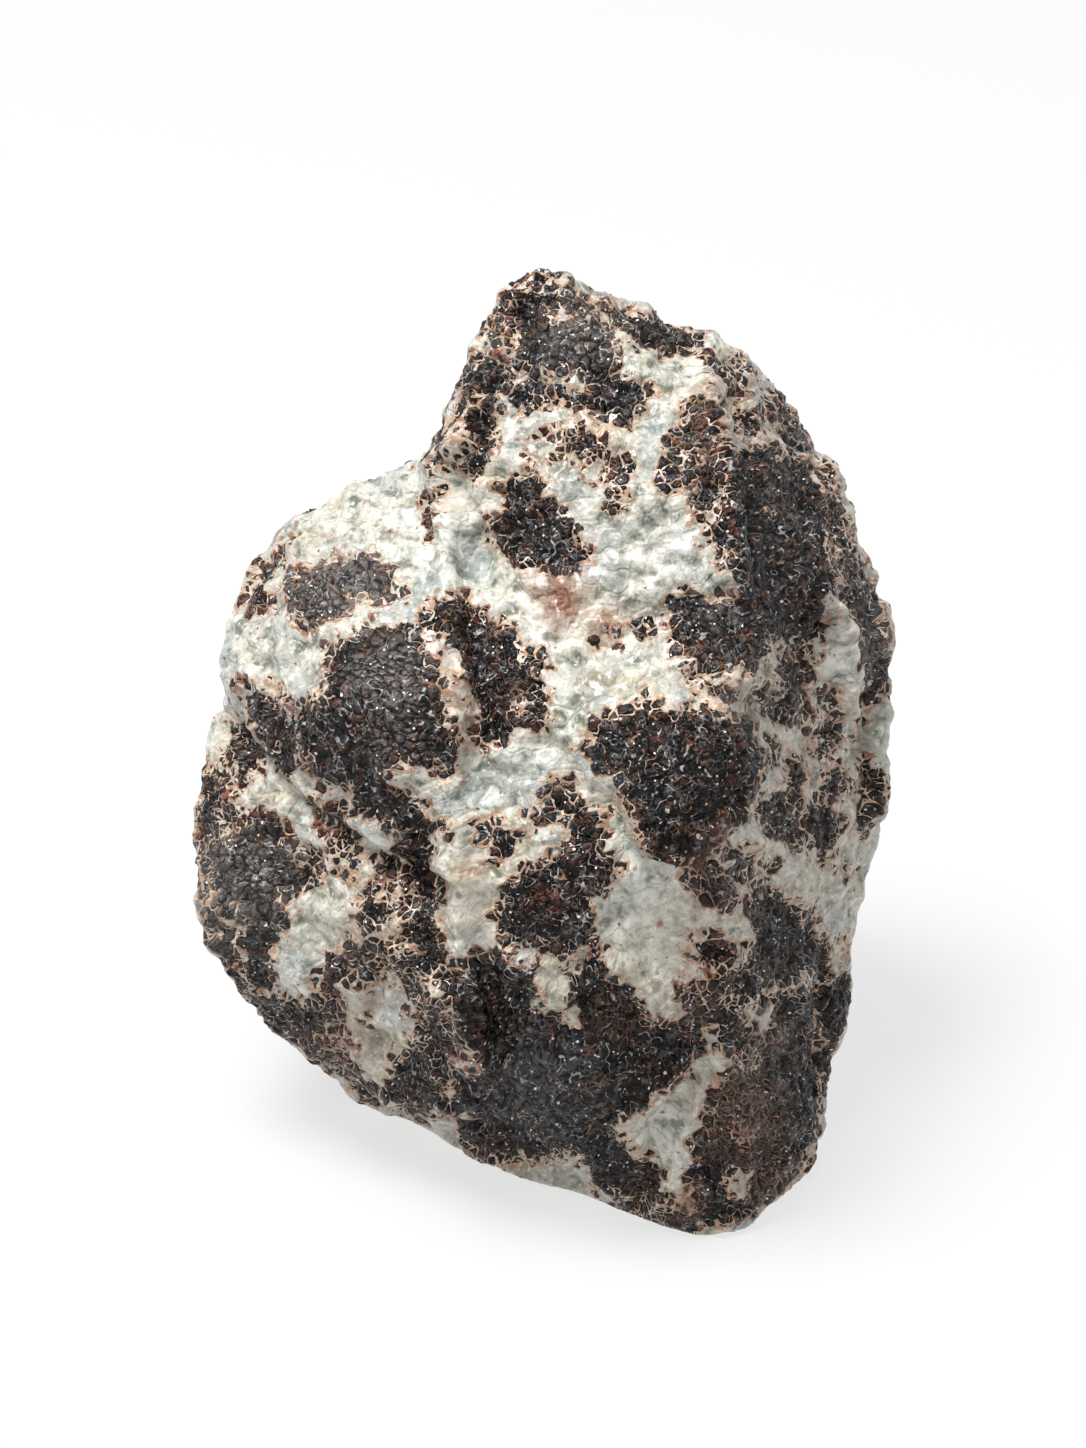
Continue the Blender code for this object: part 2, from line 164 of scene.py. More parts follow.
# Dark patches as they lie in the photograph
DARK_PATCHES = {
    "crown": [
        (508, 300), (530, 280), (560, 284), (572, 300), (600, 312), (616, 320), (610, 350), (618, 378),
        (650, 388), (630, 420), (600, 412), (560, 402), (522, 412), (510, 398), (526, 378), (512, 350),
        (514, 320),
    ],
    "crest": [
        (585, 298), (640, 312), (690, 325), (700, 345), (660, 356), (640, 348), (625, 325), (595, 310),
    ],
    "under the crown, left": [(565, 432), (580, 424), (598, 430), (600, 450), (585, 460), (570, 455)],
    "under the crown, right": [(605, 460), (616, 452), (630, 462), (634, 480), (626, 494), (610, 486)],
    "under the crown, low": [(606, 507), (613, 500), (620, 507), (613, 514)],
    "upper face": [
        (492, 484), (510, 478), (530, 472), (545, 480), (545, 495), (560, 505), (568, 520), (575, 536),
        (590, 545), (590, 562), (580, 570), (540, 570), (515, 565), (500, 550), (486, 535), (488, 522),
        (505, 512), (512, 500), (495, 492),
    ],
    "left edge of the crown": [
        (468, 420), (490, 405), (499, 410), (492, 430), (498, 450), (480, 470), (470, 482), (462, 462),
        (472, 440),
    ],
    "beside the arris": [
        (700, 402), (715, 410), (717, 432), (718, 460), (722, 480), (722, 510), (700, 515), (690, 500),
        (700, 485), (662, 492), (658, 475), (668, 462), (660, 450), (672, 435), (682, 420), (690, 405),
    ],
    "right band": [
        (726, 443), (736, 441), (748, 453), (760, 448), (772, 445), (781, 462), (792, 462), (798, 454),
        (812, 458), (822, 488), (830, 520), (838, 560), (840, 588), (826, 594), (827, 622), (824, 640),
        (806, 645), (794, 652), (780, 645), (768, 640), (770, 655), (752, 672), (735, 668), (718, 676),
        (700, 678), (690, 678), (692, 670), (672, 655), (668, 630), (671, 600), (688, 585), (700, 588),
        (706, 598), (720, 600), (738, 592), (740, 580), (730, 565), (715, 545), (702, 520), (722, 515),
        (722, 480), (716, 460),
    ],
    "under the right band": [
        (782, 652), (796, 654), (812, 668), (814, 690), (808, 715), (790, 722), (776, 716), (772, 700),
        (780, 690), (776, 672),
    ],
    "beside the upper vein": [(822, 692), (832, 688), (836, 704), (826, 712)],
    "over the bulge": [(704, 684), (716, 682), (732, 692), (730, 698), (712, 698)],
    "over the bulge, left": [(690, 680), (698, 682), (700, 694), (694, 696)],
    "right edge": [
        (816, 462), (824, 470), (832, 492), (842, 520), (856, 556), (862, 580), (874, 596), (884, 640),
        (886, 665), (880, 690), (868, 702), (868, 716), (858, 735), (850, 735), (862, 705), (862, 680),
        (857, 650), (848, 615), (844, 580), (834, 530), (826, 500),
    ],
    "upper right rim": [
        (706, 366), (722, 360), (738, 366), (748, 373), (744, 392), (728, 392), (724, 379), (710, 376),
    ],
    "rim above the pale band": [
        (764, 386), (785, 396), (798, 412), (807, 436), (813, 452), (802, 450), (790, 442), (780, 432),
        (774, 418), (768, 404),
    ],
    "speck under that rim": [(742, 412), (748, 407), (757, 410), (761, 427), (752, 433), (744, 425)],
    "speck on the bulge": [(637, 622), (645, 618), (652, 628), (650, 640), (640, 642), (634, 632)],
    "shoulder": [
        (300, 575), (315, 568), (345, 562), (375, 560), (395, 575), (400, 590), (390, 600), (355, 600),
        (350, 615), (335, 625), (315, 630), (300, 620), (290, 605), (285, 595),
    ],
    "speck on the shoulder": [(250, 590), (262, 588), (270, 600), (262, 612), (250, 608)],
    "back edge of the shoulder": [(250, 575), (270, 555), (290, 535), (300, 535), (285, 560), (262, 582)],
    "saddle": [(425, 500), (445, 492), (448, 510), (440, 520), (428, 535), (422, 520)],
    "left lobe": [
        (333, 662), (340, 648), (360, 640), (375, 630), (395, 625), (410, 632), (420, 645), (435, 655),
        (445, 675), (448, 690), (446, 720), (456, 742), (456, 770), (442, 777), (430, 768), (410, 760),
        (385, 772), (400, 790), (420, 805), (440, 822), (455, 825), (430, 835), (428, 850), (432, 862),
        (415, 855), (400, 835), (380, 820), (355, 812), (345, 790), (320, 775), (300, 745), (298, 705),
        (325, 705), (332, 690), (337, 675),
    ],
    "right of the lobe": [
        (428, 610), (435, 600), (450, 605), (462, 597), (475, 605), (490, 620), (515, 630), (522, 640),
        (525, 655), (545, 655), (548, 668), (535, 675), (548, 695), (550, 710), (540, 727), (518, 728),
        (505, 738), (490, 748), (475, 742), (470, 730), (478, 715), (472, 705), (462, 700), (458, 670),
        (452, 652), (440, 640), (425, 635),
    ],
    "shoulder edge": [
        (240, 682), (260, 690), (275, 705), (290, 720), (298, 735), (300, 760), (298, 780), (288, 780),
        (280, 765), (268, 745), (262, 735), (250, 720), (242, 700),
    ],
    "haunch, high": [(230, 725), (250, 725), (258, 745), (258, 775), (240, 780), (230, 765), (225, 760)],
    "haunch, streak": [(215, 765), (225, 765), (230, 800), (245, 830), (232, 828), (215, 805), (210, 785)],
    "haunch": [
        (205, 850), (225, 832), (250, 815), (262, 805), (278, 822), (285, 840), (283, 862), (290, 866),
        (298, 855), (306, 851), (315, 870), (313, 890), (300, 897), (275, 899), (292, 915), (282, 935),
        (268, 945), (275, 965), (276, 980), (268, 992), (255, 993), (245, 970), (236, 945), (238, 930),
        (222, 915), (214, 905), (213, 895), (205, 870),
    ],
    "haunch, rim": [
        (200, 780), (212, 770), (222, 800), (215, 840), (205, 850), (207, 880), (215, 910), (235, 940),
        (240, 970), (255, 995), (240, 1000), (222, 965), (208, 930), (200, 890), (198, 830),
    ],
    "haunch front, high": [
        (310, 800), (330, 805), (350, 800), (353, 815), (352, 840), (345, 855), (335, 862), (328, 850),
        (332, 830), (320, 815),
    ],
    "haunch front, middle": [
        (378, 855), (395, 860), (402, 875), (420, 875), (421, 890), (405, 890), (395, 880), (378, 880),
    ],
    "haunch front, under that": [
        (363, 890), (375, 885), (385, 898), (405, 898), (398, 915), (390, 925), (372, 926), (363, 918),
    ],
    "haunch front, band": [
        (373, 950), (385, 945), (400, 950), (440, 948), (448, 955), (445, 965), (428, 975), (410, 975),
        (395, 960), (378, 960),
    ],
    "haunch front, streak": [
        (390, 975), (410, 982), (428, 990), (440, 1005), (450, 1025), (458, 1040), (460, 1055), (440, 1062),
        (430, 1050), (424, 1040), (422, 1005), (405, 995),
    ],
    "knot in the middle": [
        (475, 825), (500, 822), (515, 823), (525, 835), (515, 850), (507, 862), (495, 858), (485, 845),
        (478, 838),
    ],
    "upper column": [
        (512, 878), (552, 858), (572, 832), (570, 818), (540, 824), (528, 815), (548, 805), (546, 782),
        (566, 778), (578, 798), (600, 818), (600, 846), (614, 868), (608, 886), (590, 898), (597, 925),
        (592, 942), (560, 962), (545, 945), (520, 944), (504, 940), (495, 920), (500, 905),
    ],
    "lower front": [
        (592, 942), (607, 955), (608, 972), (632, 985), (650, 1022), (690, 1022), (700, 1050), (690, 1072),
        (655, 1095), (640, 1110), (620, 1118), (615, 1130), (630, 1150), (660, 1175), (665, 1190),
        (662, 1212), (640, 1210), (620, 1192), (598, 1193), (588, 1170), (580, 1152), (560, 1152),
        (540, 1157), (522, 1153), (515, 1165), (500, 1162), (475, 1155), (458, 1140), (455, 1120),
        (450, 1095), (452, 1070), (460, 1060), (470, 1055), (472, 1040), (450, 1035), (440, 1010),
        (445, 990), (440, 975), (455, 965), (470, 965), (475, 955), (500, 952), (520, 960), (535, 960),
        (537, 985), (534, 1000), (560, 1018), (576, 1020), (564, 995), (578, 965),
    ],
    "bulge": [
        (604, 715), (630, 708), (650, 698), (660, 720), (690, 715), (705, 705), (715, 715), (730, 722),
        (740, 715), (750, 725), (755, 745), (765, 755), (770, 765), (755, 775), (752, 800), (740, 815),
        (728, 830), (722, 845), (700, 865), (660, 862), (645, 850), (640, 830), (632, 815), (620, 800),
        (622, 775), (600, 770), (585, 760), (578, 750), (590, 735),
    ],
    "right flank, high": [
        (812, 737), (820, 723), (832, 716), (839, 728), (834, 746), (823, 760), (814, 758),
    ],
    "right flank, dot": [(822, 776), (832, 766), (840, 772), (843, 790), (834, 799), (824, 792)],
    "right flank": [
        (786, 762), (800, 756), (807, 776), (800, 792), (797, 815), (808, 836), (795, 846), (778, 841),
        (765, 832), (762, 813), (768, 795), (781, 790),
    ],
    "right flank, low": [
        (802, 806), (820, 800), (834, 806), (838, 830), (830, 850), (818, 862), (806, 846), (804, 826),
    ],
    "right flank, edge": [
        (861, 770), (866, 763), (875, 767), (880, 790), (876, 810), (868, 824), (864, 832), (861, 815),
        (866, 800), (862, 785),
    ],
    "below the bulge": [(722, 850), (735, 846), (749, 852), (757, 868), (750, 881), (738, 879), (728, 868)],
    "below the bulge, left": [
        (694, 866), (712, 860), (728, 872), (736, 890), (726, 906), (708, 900), (696, 884),
    ],
    "below the pale strip": [(765, 863), (776, 861), (777, 872), (768, 873)],
    "lower right, high": [
        (738, 905), (760, 884), (776, 888), (790, 903), (808, 905), (813, 925), (822, 940), (828, 955),
        (824, 978), (812, 985), (800, 975), (790, 985), (775, 990), (760, 975), (745, 962), (742, 945),
        (752, 930), (740, 920),
    ],
    "lower right, left": [(690, 940), (712, 935), (736, 944), (739, 961), (715, 967), (696, 962)],
    "lower right": [
        (705, 985), (722, 972), (748, 966), (772, 992), (792, 990), (800, 982), (820, 990), (830, 985),
        (828, 1010), (816, 1032), (819, 1060), (821, 1100), (817, 1122), (806, 1148), (790, 1178),
        (772, 1195), (758, 1212), (735, 1222), (705, 1224), (692, 1214), (696, 1190), (688, 1172),
        (692, 1150), (702, 1125), (708, 1100), (722, 1080), (728, 1050), (716, 1036), (705, 1020),
    ],
    "lower right, edge": [
        (828, 985), (845, 970), (860, 985), (862, 1040), (858, 1100), (850, 1150), (830, 1190), (806, 1200),
        (800, 1180), (812, 1150), (822, 1110), (820, 1060), (818, 1020),
    ],
    "beside the lower vein": [
        (676, 985), (690, 986), (702, 1000), (710, 1020), (708, 1042), (706, 1060), (696, 1066),
        (690, 1040), (684, 1010),
    ],
    "peak, left": [
        (504, 296), (516, 280), (540, 274), (560, 276), (556, 284), (530, 286), (512, 302), (506, 330),
        (498, 352), (492, 340),
    ],
    "crown, left rim": [
        (488, 352), (500, 360), (512, 376), (504, 392), (492, 398), (480, 400), (470, 416), (462, 432),
        (452, 448), (440, 468), (436, 460), (448, 430), (458, 400), (468, 375),
    ],
    "foot, left": [
        (270, 1005), (285, 1000), (320, 997), (328, 1005), (340, 1015), (335, 1020), (322, 1030),
        (320, 1040), (335, 1050), (345, 1060), (350, 1072), (335, 1072), (315, 1062), (300, 1045),
        (285, 1030), (272, 1015),
    ],
    "foot, rim": [
        (282, 1026), (322, 1040), (345, 1052), (360, 1075), (385, 1098), (375, 1104), (350, 1080),
        (335, 1066), (310, 1050), (284, 1036),
    ],
    "foot, upper band": [
        (345, 942), (365, 938), (400, 942), (398, 950), (388, 965), (384, 985), (368, 982), (352, 972),
    ],
    "foot, upright streak": [
        (325, 955), (340, 958), (342, 975), (338, 990), (344, 1010), (343, 1030), (335, 1035), (328, 1015),
        (324, 995), (322, 975),
    ],
    "foot, slanting band": [
        (388, 958), (402, 965), (418, 985), (424, 1000), (426, 1030), (432, 1040), (446, 1045), (452, 1075),
        (445, 1090), (452, 1110), (440, 1110), (430, 1090), (428, 1060), (420, 1040), (418, 1010),
        (408, 990), (392, 975),
    ],
    "first speck over the bulge": [(691, 682), (700, 679), (706, 688), (702, 697), (693, 693)],
    "second speck over the bulge": [(711, 688), (722, 684), (735, 692), (732, 701), (717, 701)],
    "third speck over the bulge": [(754, 690), (765, 685), (774, 695), (768, 708), (756, 705)],
    "fourth speck over the bulge": [(793, 647), (806, 643), (817, 655), (812, 671), (799, 669)],
    "speck beside the bulge": [(767, 742), (776, 737), (784, 750), (780, 767), (770, 766)],
    "left of the column": [
        (404, 820), (420, 826), (433, 850), (436, 890), (438, 925), (444, 948), (432, 958), (416, 946),
        (403, 930), (412, 905), (405, 870), (398, 840),
    ],
    "foot, outer rim": [
        (232, 958), (250, 985), (262, 995), (284, 1002), (302, 1036), (290, 1042), (268, 1026), (248, 1006),
        (232, 980),
    ],
    "foot, front rim": [
        (608, 1186), (640, 1204), (664, 1206), (692, 1212), (714, 1226), (690, 1238), (650, 1228),
        (612, 1208),
    ],
    "foot, speck": [(330, 955), (340, 952), (348, 965), (355, 975), (340, 985), (325, 985), (325, 970)],
    "foot, middle": [
        (400, 1045), (415, 1042), (430, 1055), (435, 1070), (435, 1085), (445, 1100), (435, 1115),
        (420, 1120), (400, 1112), (388, 1098), (384, 1085), (392, 1070), (400, 1060),
    ],
}

# Pale islands inside dark patches
PALE_ISLANDS = {
    "lower right": [(752, 1000), (770, 1006), (778, 1028), (766, 1040), (752, 1030), (742, 1016)],
    "near the foot": [(726, 1178), (738, 1170), (752, 1168), (755, 1182), (746, 1194), (730, 1192)],
    "in the lobe's neighbour": [(512, 706), (520, 700), (528, 704), (524, 712), (514, 712)],
    "in the crown, high": [(552, 312), (566, 310), (574, 320), (562, 326), (552, 322)],
    "in the crown, low": [(545, 380), (555, 370), (575, 378), (592, 387), (580, 395), (560, 393)],
}

# Stains, tints and finer grain as they lie in the photograph: x, y and radius in pixels, and strength. In a
# net zone pale seams run round the dark grains. Murky spots are dull and grey, and milky ones nearly white.
STAIN_FULLNESS = 1.3
RUST_SPOTS = [
    (562, 600, 44, 1.0), (606, 622, 28, 0.9), (735, 1110, 60, 0.7), (765, 1040, 40, 0.5),
    (690, 1000, 40, 0.5), (620, 1010, 40, 0.3), (770, 1180, 50, 0.5), (700, 900, 30, 0.5),
    (350, 1040, 44, 0.5), (580, 780, 12, 0.7), (440, 660, 16, 0.6), (452, 690, 14, 0.7),
    (462, 712, 12, 0.6), (720, 840, 26, 0.6), (726, 1066, 16, 0.9), (750, 1090, 22, 0.7),
    (690, 1200, 26, 1.0), (690, 450, 34, 0.6), (705, 400, 22, 0.8), (655, 1010, 16, 0.5),
    (686, 972, 18, 0.5), (516, 690, 16, 0.5), (700, 550, 12, 0.5), (477, 868, 16, 0.8),
    (372, 1000, 20, 0.5), (700, 870, 24, 0.6), (765, 730, 18, 0.4), (500, 352, 14, 0.6),
    (640, 1190, 20, 0.5), (730, 682, 14, 0.8),
]
NET_ZONES = [
    (330, 860, 60, 1.0), (400, 900, 60, 1.0), (380, 960, 55, 1.0), (420, 1010, 40, 1.0),
    (330, 820, 50, 0.9), (350, 1020, 40, 0.8), (225, 800, 34, 0.9), (215, 880, 26, 0.6),
    (490, 330, 34, 0.9), (475, 400, 36, 0.8), (575, 430, 36, 0.6), (690, 460, 50, 1.0), (800, 700, 40, 0.9),
    (850, 780, 44, 0.9), (850, 870, 44, 0.8), (840, 950, 44, 0.9), (820, 830, 30, 0.8), (860, 560, 40, 0.8),
    (870, 650, 34, 0.8), (740, 700, 40, 0.7), (730, 1000, 50, 1.0), (750, 1060, 50, 1.0),
    (740, 1130, 50, 1.0), (700, 880, 44, 1.0), (790, 420, 40, 0.9), (275, 690, 34, 0.8),
    (330, 790, 30, 0.7), (640, 820, 20, 0.5), (700, 540, 26, 0.6), (460, 830, 22, 1.0), (330, 610, 40, 0.4),
    (545, 445, 50, 1.0), (605, 470, 50, 0.9), (620, 625, 46, 0.8), (735, 370, 40, 1.0),
    (350, 1040, 60, 1.0), (310, 1000, 40, 1.0), (590, 640, 30, 0.7), (655, 1215, 44, 1.0),
    (450, 1020, 40, 1.0), (500, 900, 26, 0.7), (660, 1040, 60, 0.7), (640, 1110, 50, 0.5),
]
CREAM_SPOTS = [
    (460, 900, 46, 1.3), (660, 950, 56, 0.8), (820, 850, 60, 0.7), (330, 930, 40, 0.6), (560, 960, 30, 0.6),
    (310, 1080, 40, 0.5), (480, 450, 30, 0.5), (640, 700, 40, 0.5),
]
# Dust spots, which on the top-lit shoulder and lobe stand partly for painted sheen: a grey laid over the dark
# mineral
DUST_AND_SHEEN_SPOTS = [
    (345, 595, 70, 1.0), (395, 680, 50, 1.0), (575, 335, 60, 0.6), (240, 880, 66, 1.0), (400, 740, 40, 0.5),
    (720, 600, 40, 0.4), (205, 940, 40, 0.6), (870, 640, 50, 0.5), (740, 690, 50, 0.5),
    (530, 1080, 70, 0.3),
]
MURKY_SPOTS = [
    (550, 1185, 40, 1.0), (320, 690, 30, 0.5), (640, 600, 40, 0.5), (600, 680, 44, 0.6),
    (270, 650, 30, 0.3), (520, 790, 30, 0.3), (560, 470, 60, 0.6), (600, 560, 40, 0.4), (810, 880, 60, 0.3),
    (750, 698, 34, 1.0), (330, 545, 20, 0.4), (480, 1150, 50, 0.8), (350, 1040, 60, 0.7),
    (740, 690, 50, 0.4),
]
MILKY_SPOTS = [
    (463, 900, 34, 1.0), (660, 1140, 56, 0.9), (660, 975, 36, 0.6), (390, 515, 60, 0.3),
    (665, 560, 40, 0.5), (600, 540, 30, 0.3), (455, 590, 24, 0.8), (640, 915, 56, 0.7), (838, 650, 30, 0.9),
    (300, 980, 26, 0.9), (345, 920, 30, 0.3), (448, 450, 24, 0.5), (700, 380, 26, 0.6), (440, 540, 40, 0.6),
    (700, 1190, 30, 0.4),
]
BLUE_SPOTS = [
    (545, 530, 44, 0.35), (540, 1090, 80, 1.0), (806, 1080, 40, 0.5), (380, 690, 60, 0.6),
    (720, 630, 40, 0.5), (690, 770, 40, 0.4), (770, 560, 60, 0.5), (790, 930, 30, 0.5), (470, 560, 30, 1.0),
    (530, 790, 44, 1.0), (592, 560, 22, 0.7), (640, 400, 24, 0.6), (570, 590, 30, 0.4), (640, 900, 36, 0.6),
    (738, 1182, 14, 1.0), (330, 850, 26, 0.5),
]

# Folds as they run in the photograph, with the stone raised to the left of the line's run and pushed in to
# the right of it: the line, the width over which that fades and the height, in millimetres
FOLD_SHARPNESS = 0.35
FOLDS = [
    ([(252, 730), (270, 756), (305, 796), (350, 828), (400, 856), (440, 872), (470, 884)], 3.4, 1.4),
    ([(636, 846), (655, 862), (700, 866), (740, 820), (752, 790)], 2.8, 1.5),
]

# Swellings and hollows as they lie in the photograph: x, y and radius in pixels, and height in millimetres
SWELLINGS = [
    (375, 700, 110, 2.4), (335, 590, 80, 0.8), (690, 762, 95, 2.2), (552, 900, 66, 1.0),
    (300, 868, 60, -1.5), (560, 1080, 110, 1.2), (775, 1120, 70, 1.0), (668, 1130, 44, -1.2),
    (660, 930, 70, -1.0), (482, 560, 44, -0.9), (715, 628, 56, 0.9), (556, 350, 56, 0.8),
    (600, 668, 50, -0.7), (768, 716, 40, -0.8), (385, 935, 60, 0.8), (330, 950, 40, -0.6),
]

# Ridges and creases as they run in the photograph, each with its half width and its height in millimetres
FORMS = [
    ([(700, 362), (720, 440), (734, 510), (742, 590)], 1.8, 1.3),
    ([(736, 400), (742, 450), (756, 520), (768, 590)], 1.8, -1.2),
    ([(458, 690), (450, 760), (456, 850), (466, 930), (474, 1060)], 2.4, 1.6),
    ([(436, 470), (450, 530), (446, 600), (462, 680)], 1.7, 1.3),
    ([(460, 480), (474, 530), (478, 580)], 1.6, -1.2),
    ([(836, 612), (848, 660), (846, 712)], 1.3, 1.2),
    ([(640, 1200), (660, 1130), (700, 1070), (716, 1040)], 1.8, -1.2),
    ([(500, 960), (560, 1000), (604, 970), (640, 990), (668, 1040)], 1.8, 0.8),
    ([(540, 740), (600, 800), (630, 850)], 2.2, -1.2),
    ([(512, 300), (500, 350), (478, 400), (450, 450)], 1.6, 0.9),
    ([(864, 700), (868, 722), (862, 745)], 1.4, -1.0),
    ([(874, 756), (880, 790), (872, 815)], 1.2, 0.8),
    ([(880, 610), (888, 650), (884, 680)], 1.4, 0.6),
    ([(826, 975), (832, 1010), (822, 1040)], 1.2, 0.6),
    ([(816, 1042), (822, 1060)], 1.2, -0.7),
]

# Strewn patches where the photograph doesn't see the stone: how many, smallest and largest radius. Then how
# narrow one may be, how far two waves, the second one finer, bend them, how wide a strewn stain fades, and
# how deep inside a patch, or far from one, is counted
STREWN_SEED = 27
STREWN_DARK = (270, 2.4, 8.0)
STREWN_NETS = (90, 3.0, 7.0)
STREWN_STAINS = (40, 2.5, 6.0)
NARROWEST = 0.6
CROOKED = 1.5
CROOKED_SIZE = 1.7
FINER_CROOKED = 0.75
FINER_WAVES = 2.3
STAIN_FADE = 2.0
MOST_DEPTH = 6

# The fields of the stone's looks, each with its places in the photograph and its strewn patches elsewhere
MARKS = {
    "rust": (RUST_SPOTS, STREWN_STAINS),
    "net": (NET_ZONES, STREWN_NETS),
    "cream": (CREAM_SPOTS, STREWN_STAINS),
    "blue": (BLUE_SPOTS, STREWN_STAINS),
    "dust_and_sheen": (DUST_AND_SHEEN_SPOTS, STREWN_STAINS),
    "murky": (MURKY_SPOTS, STREWN_STAINS),
    "milky": (MILKY_SPOTS, STREWN_STAINS),
}


def paint(code):
    """A colour written as six hexadecimal digits, in the linear values that shaders take."""
    shares = [int(code[at:at + 2], 16) / 255 for at in (0, 2, 4)]
    linear = [share / 12.92 if share <= 0.04045 else ((share + 0.055) / 1.055) ** 2.4 for share in shares]
    return (*linear, 1.0)


# Dark mineral
# Painted shade in the grooves between the dark grains
GROOVE_SHADE = paint("040303")
SOOT = paint("070606")
BROWN_BLACK = paint("140f0e")
SLATE = paint("292b30")
REDDISH = paint("361a12")
GLINT = paint("e6e5e1")
GREY_PLATE = paint("3a3837")
DARK_THREAD = paint("7d7a79")
CURL_GLINT_GREY = paint("b9b8b8")
RUSTY_TAN = paint("8d6248")
# Grey of dust, also used as painted sheen on top-lit dark patches
DUST_AND_SHEEN = paint("7c7773")

# Pale mineral
GREENISH_WHITE = paint("afaea2")
MILK = paint("c2bfb4")
WHITE_CRYSTAL = paint("dddcd4")
ICE_GREY = paint("949c9c")
CREAM = paint("bdaf92")
MURKY = paint("7b7468")
GREY_GREEN = paint("5f6358")
PIT_BROWN = paint("3a2a22")

# Seams
TAN = paint("a0826a")
PINKISH_WHITE = paint("cbbbab")
RUST = paint("7d4a34")
DEEP_RUST = paint("5f2d1e")


class Value:
    """What a node gives, so that it can be added and multiplied as a number is."""

    def __init__(self, bench, socket):
        self.bench = bench
        self.socket = socket

    def __add__(self, other):
        return self.bench.math("ADD", self, other)

    def __sub__(self, other):
        return self.bench.math("SUBTRACT", self, other)

    def __rsub__(self, other):
        return self.bench.math("SUBTRACT", other, self)

    def __mul__(self, other):
        return self.bench.math("MULTIPLY", self, other)

    def __truediv__(self, other):
        return self.bench.math("DIVIDE", self, other)

    def __abs__(self):
        return self.bench.math("ABSOLUTE", self)


class Bench:
    """Adds nodes to a tree and joins them."""

    def __init__(self, tree):
        self.tree = tree

    def join(self, value, socket):
        """What a node gives is linked, and a plain value is set."""
        if isinstance(value, Value):
            self.tree.links.new(value.socket, socket)
        else:
            socket.default_value = value

    def add(self, kind, inputs=None, **settings):
        node = self.tree.nodes.new(kind)
        for name, value in settings.items():
            setattr(node, name, value)
        for name, value in (inputs or {}).items():
            self.join(value, node.inputs[name])
        return node

    def give(self, node, name=0):
        return Value(self, node.outputs[name])

    def math(self, operation, *values):
        node = self.add("ShaderNodeMath", operation=operation)
        for value, socket in zip(values, node.inputs):
            self.join(value, socket)
        return self.give(node)

    def larger(self, first, second):
        return self.math("MAXIMUM", first, second)

    def smaller(self, first, second):
        return self.math("MINIMUM", first, second)

    def vector(self, operation, first, second, result="Vector"):
        node = self.add("ShaderNodeVectorMath", operation=operation)
        self.join(first, node.inputs[0])
        self.join(second, node.inputs["Scale" if operation == "SCALE" else 1])
        return self.give(node, result)

    def split(self, vector):
        """The three numbers of a vector or a colour."""
        node = self.add("ShaderNodeSeparateXYZ", {"Vector": vector})
        return [self.give(node, at) for at in range(3)]

    def ramp(self, value, low, high, to_low=0.0, to_high=1.0, smooth=True):
        """The value taken from low..high to to_low..to_high, and held at the ends."""
        kind = "SMOOTHSTEP" if smooth else "LINEAR"
        node = self.add("ShaderNodeMapRange", interpolation_type=kind)
        for socket, number in zip(node.inputs, (value, low, high, to_low, to_high)):
            self.join(number, socket)
        return self.give(node)

    def mix(self, share, first, second, kind="RGBA"):
        """Two colours, numbers or vectors mixed by a share."""
        node = self.add("ShaderNodeMix", data_type=kind)
        first_input, output = {"FLOAT": (2, 0), "VECTOR": (4, 1), "RGBA": (6, 2)}[kind]
        self.join(share, node.inputs[0])
        self.join(first, node.inputs[first_input])
        self.join(second, node.inputs[first_input + 1])
        return self.give(node, output)

    def tint(self, colour, layers):
        """Colours laid over one: for each the field that it follows, where it starts, where it has its full
        share, that share, and the colour."""
        for field, start, full, share, layer in layers:
            colour = self.mix(self.ramp(field, start, full, 0.0, share), colour, layer)
        return colour

    def noise(self, place, size, detail=2.0, result="Fac"):
        node = self.add("ShaderNodeTexNoise", {"Vector": place, "Scale": 1.0 / size, "Detail": detail})
        return self.give(node, result)

    def cells(self, place, size, feature="F1"):
        """Cells of this size: how far the middle is as a share of it, the cell's own numbers, and where the
        middle is."""
        node = self.add("ShaderNodeTexVoronoi", {"Vector": place, "Scale": 1.0 / size}, feature=feature)
        return [self.give(node, name) for name in ("Distance", "Color", "Position")]

    def border(self, place, size):
        """How far the border of such a cell is."""
        inputs = {"Vector": place, "Scale": 1.0 / size}
        node = self.add("ShaderNodeTexVoronoi", inputs, feature="DISTANCE_TO_EDGE")
        return self.give(node, "Distance") * size


def wobbled(bench, place, size, amount):
    """The place moved a little to and fro, so that what is drawn there has crooked edges."""
    wave = bench.noise(place, size, 1.0, "Color")
    centred = bench.vector("SUBTRACT", wave, (0.5, 0.5, 0.5))
    return bench.vector("ADD", place, bench.vector("SCALE", centred, amount))


def grain_nodes(bench, place, size):
    """Grains of this size: how far the border is, then for the grain itself and for the nearest one beside it
    its own numbers and the way to its middle."""
    moved = place
    for wave_size, reach in BORDER_WAVES:
        moved = wobbled(bench, moved, size * wave_size, size * reach)
    parts = [bench.border(moved, size)]
    for feature in ("F1", "F2"):
        _, own, middle = bench.cells(moved, size, feature)
        parts.append(own)
        parts.append(bench.vector("SUBTRACT", middle, moved))
    return parts


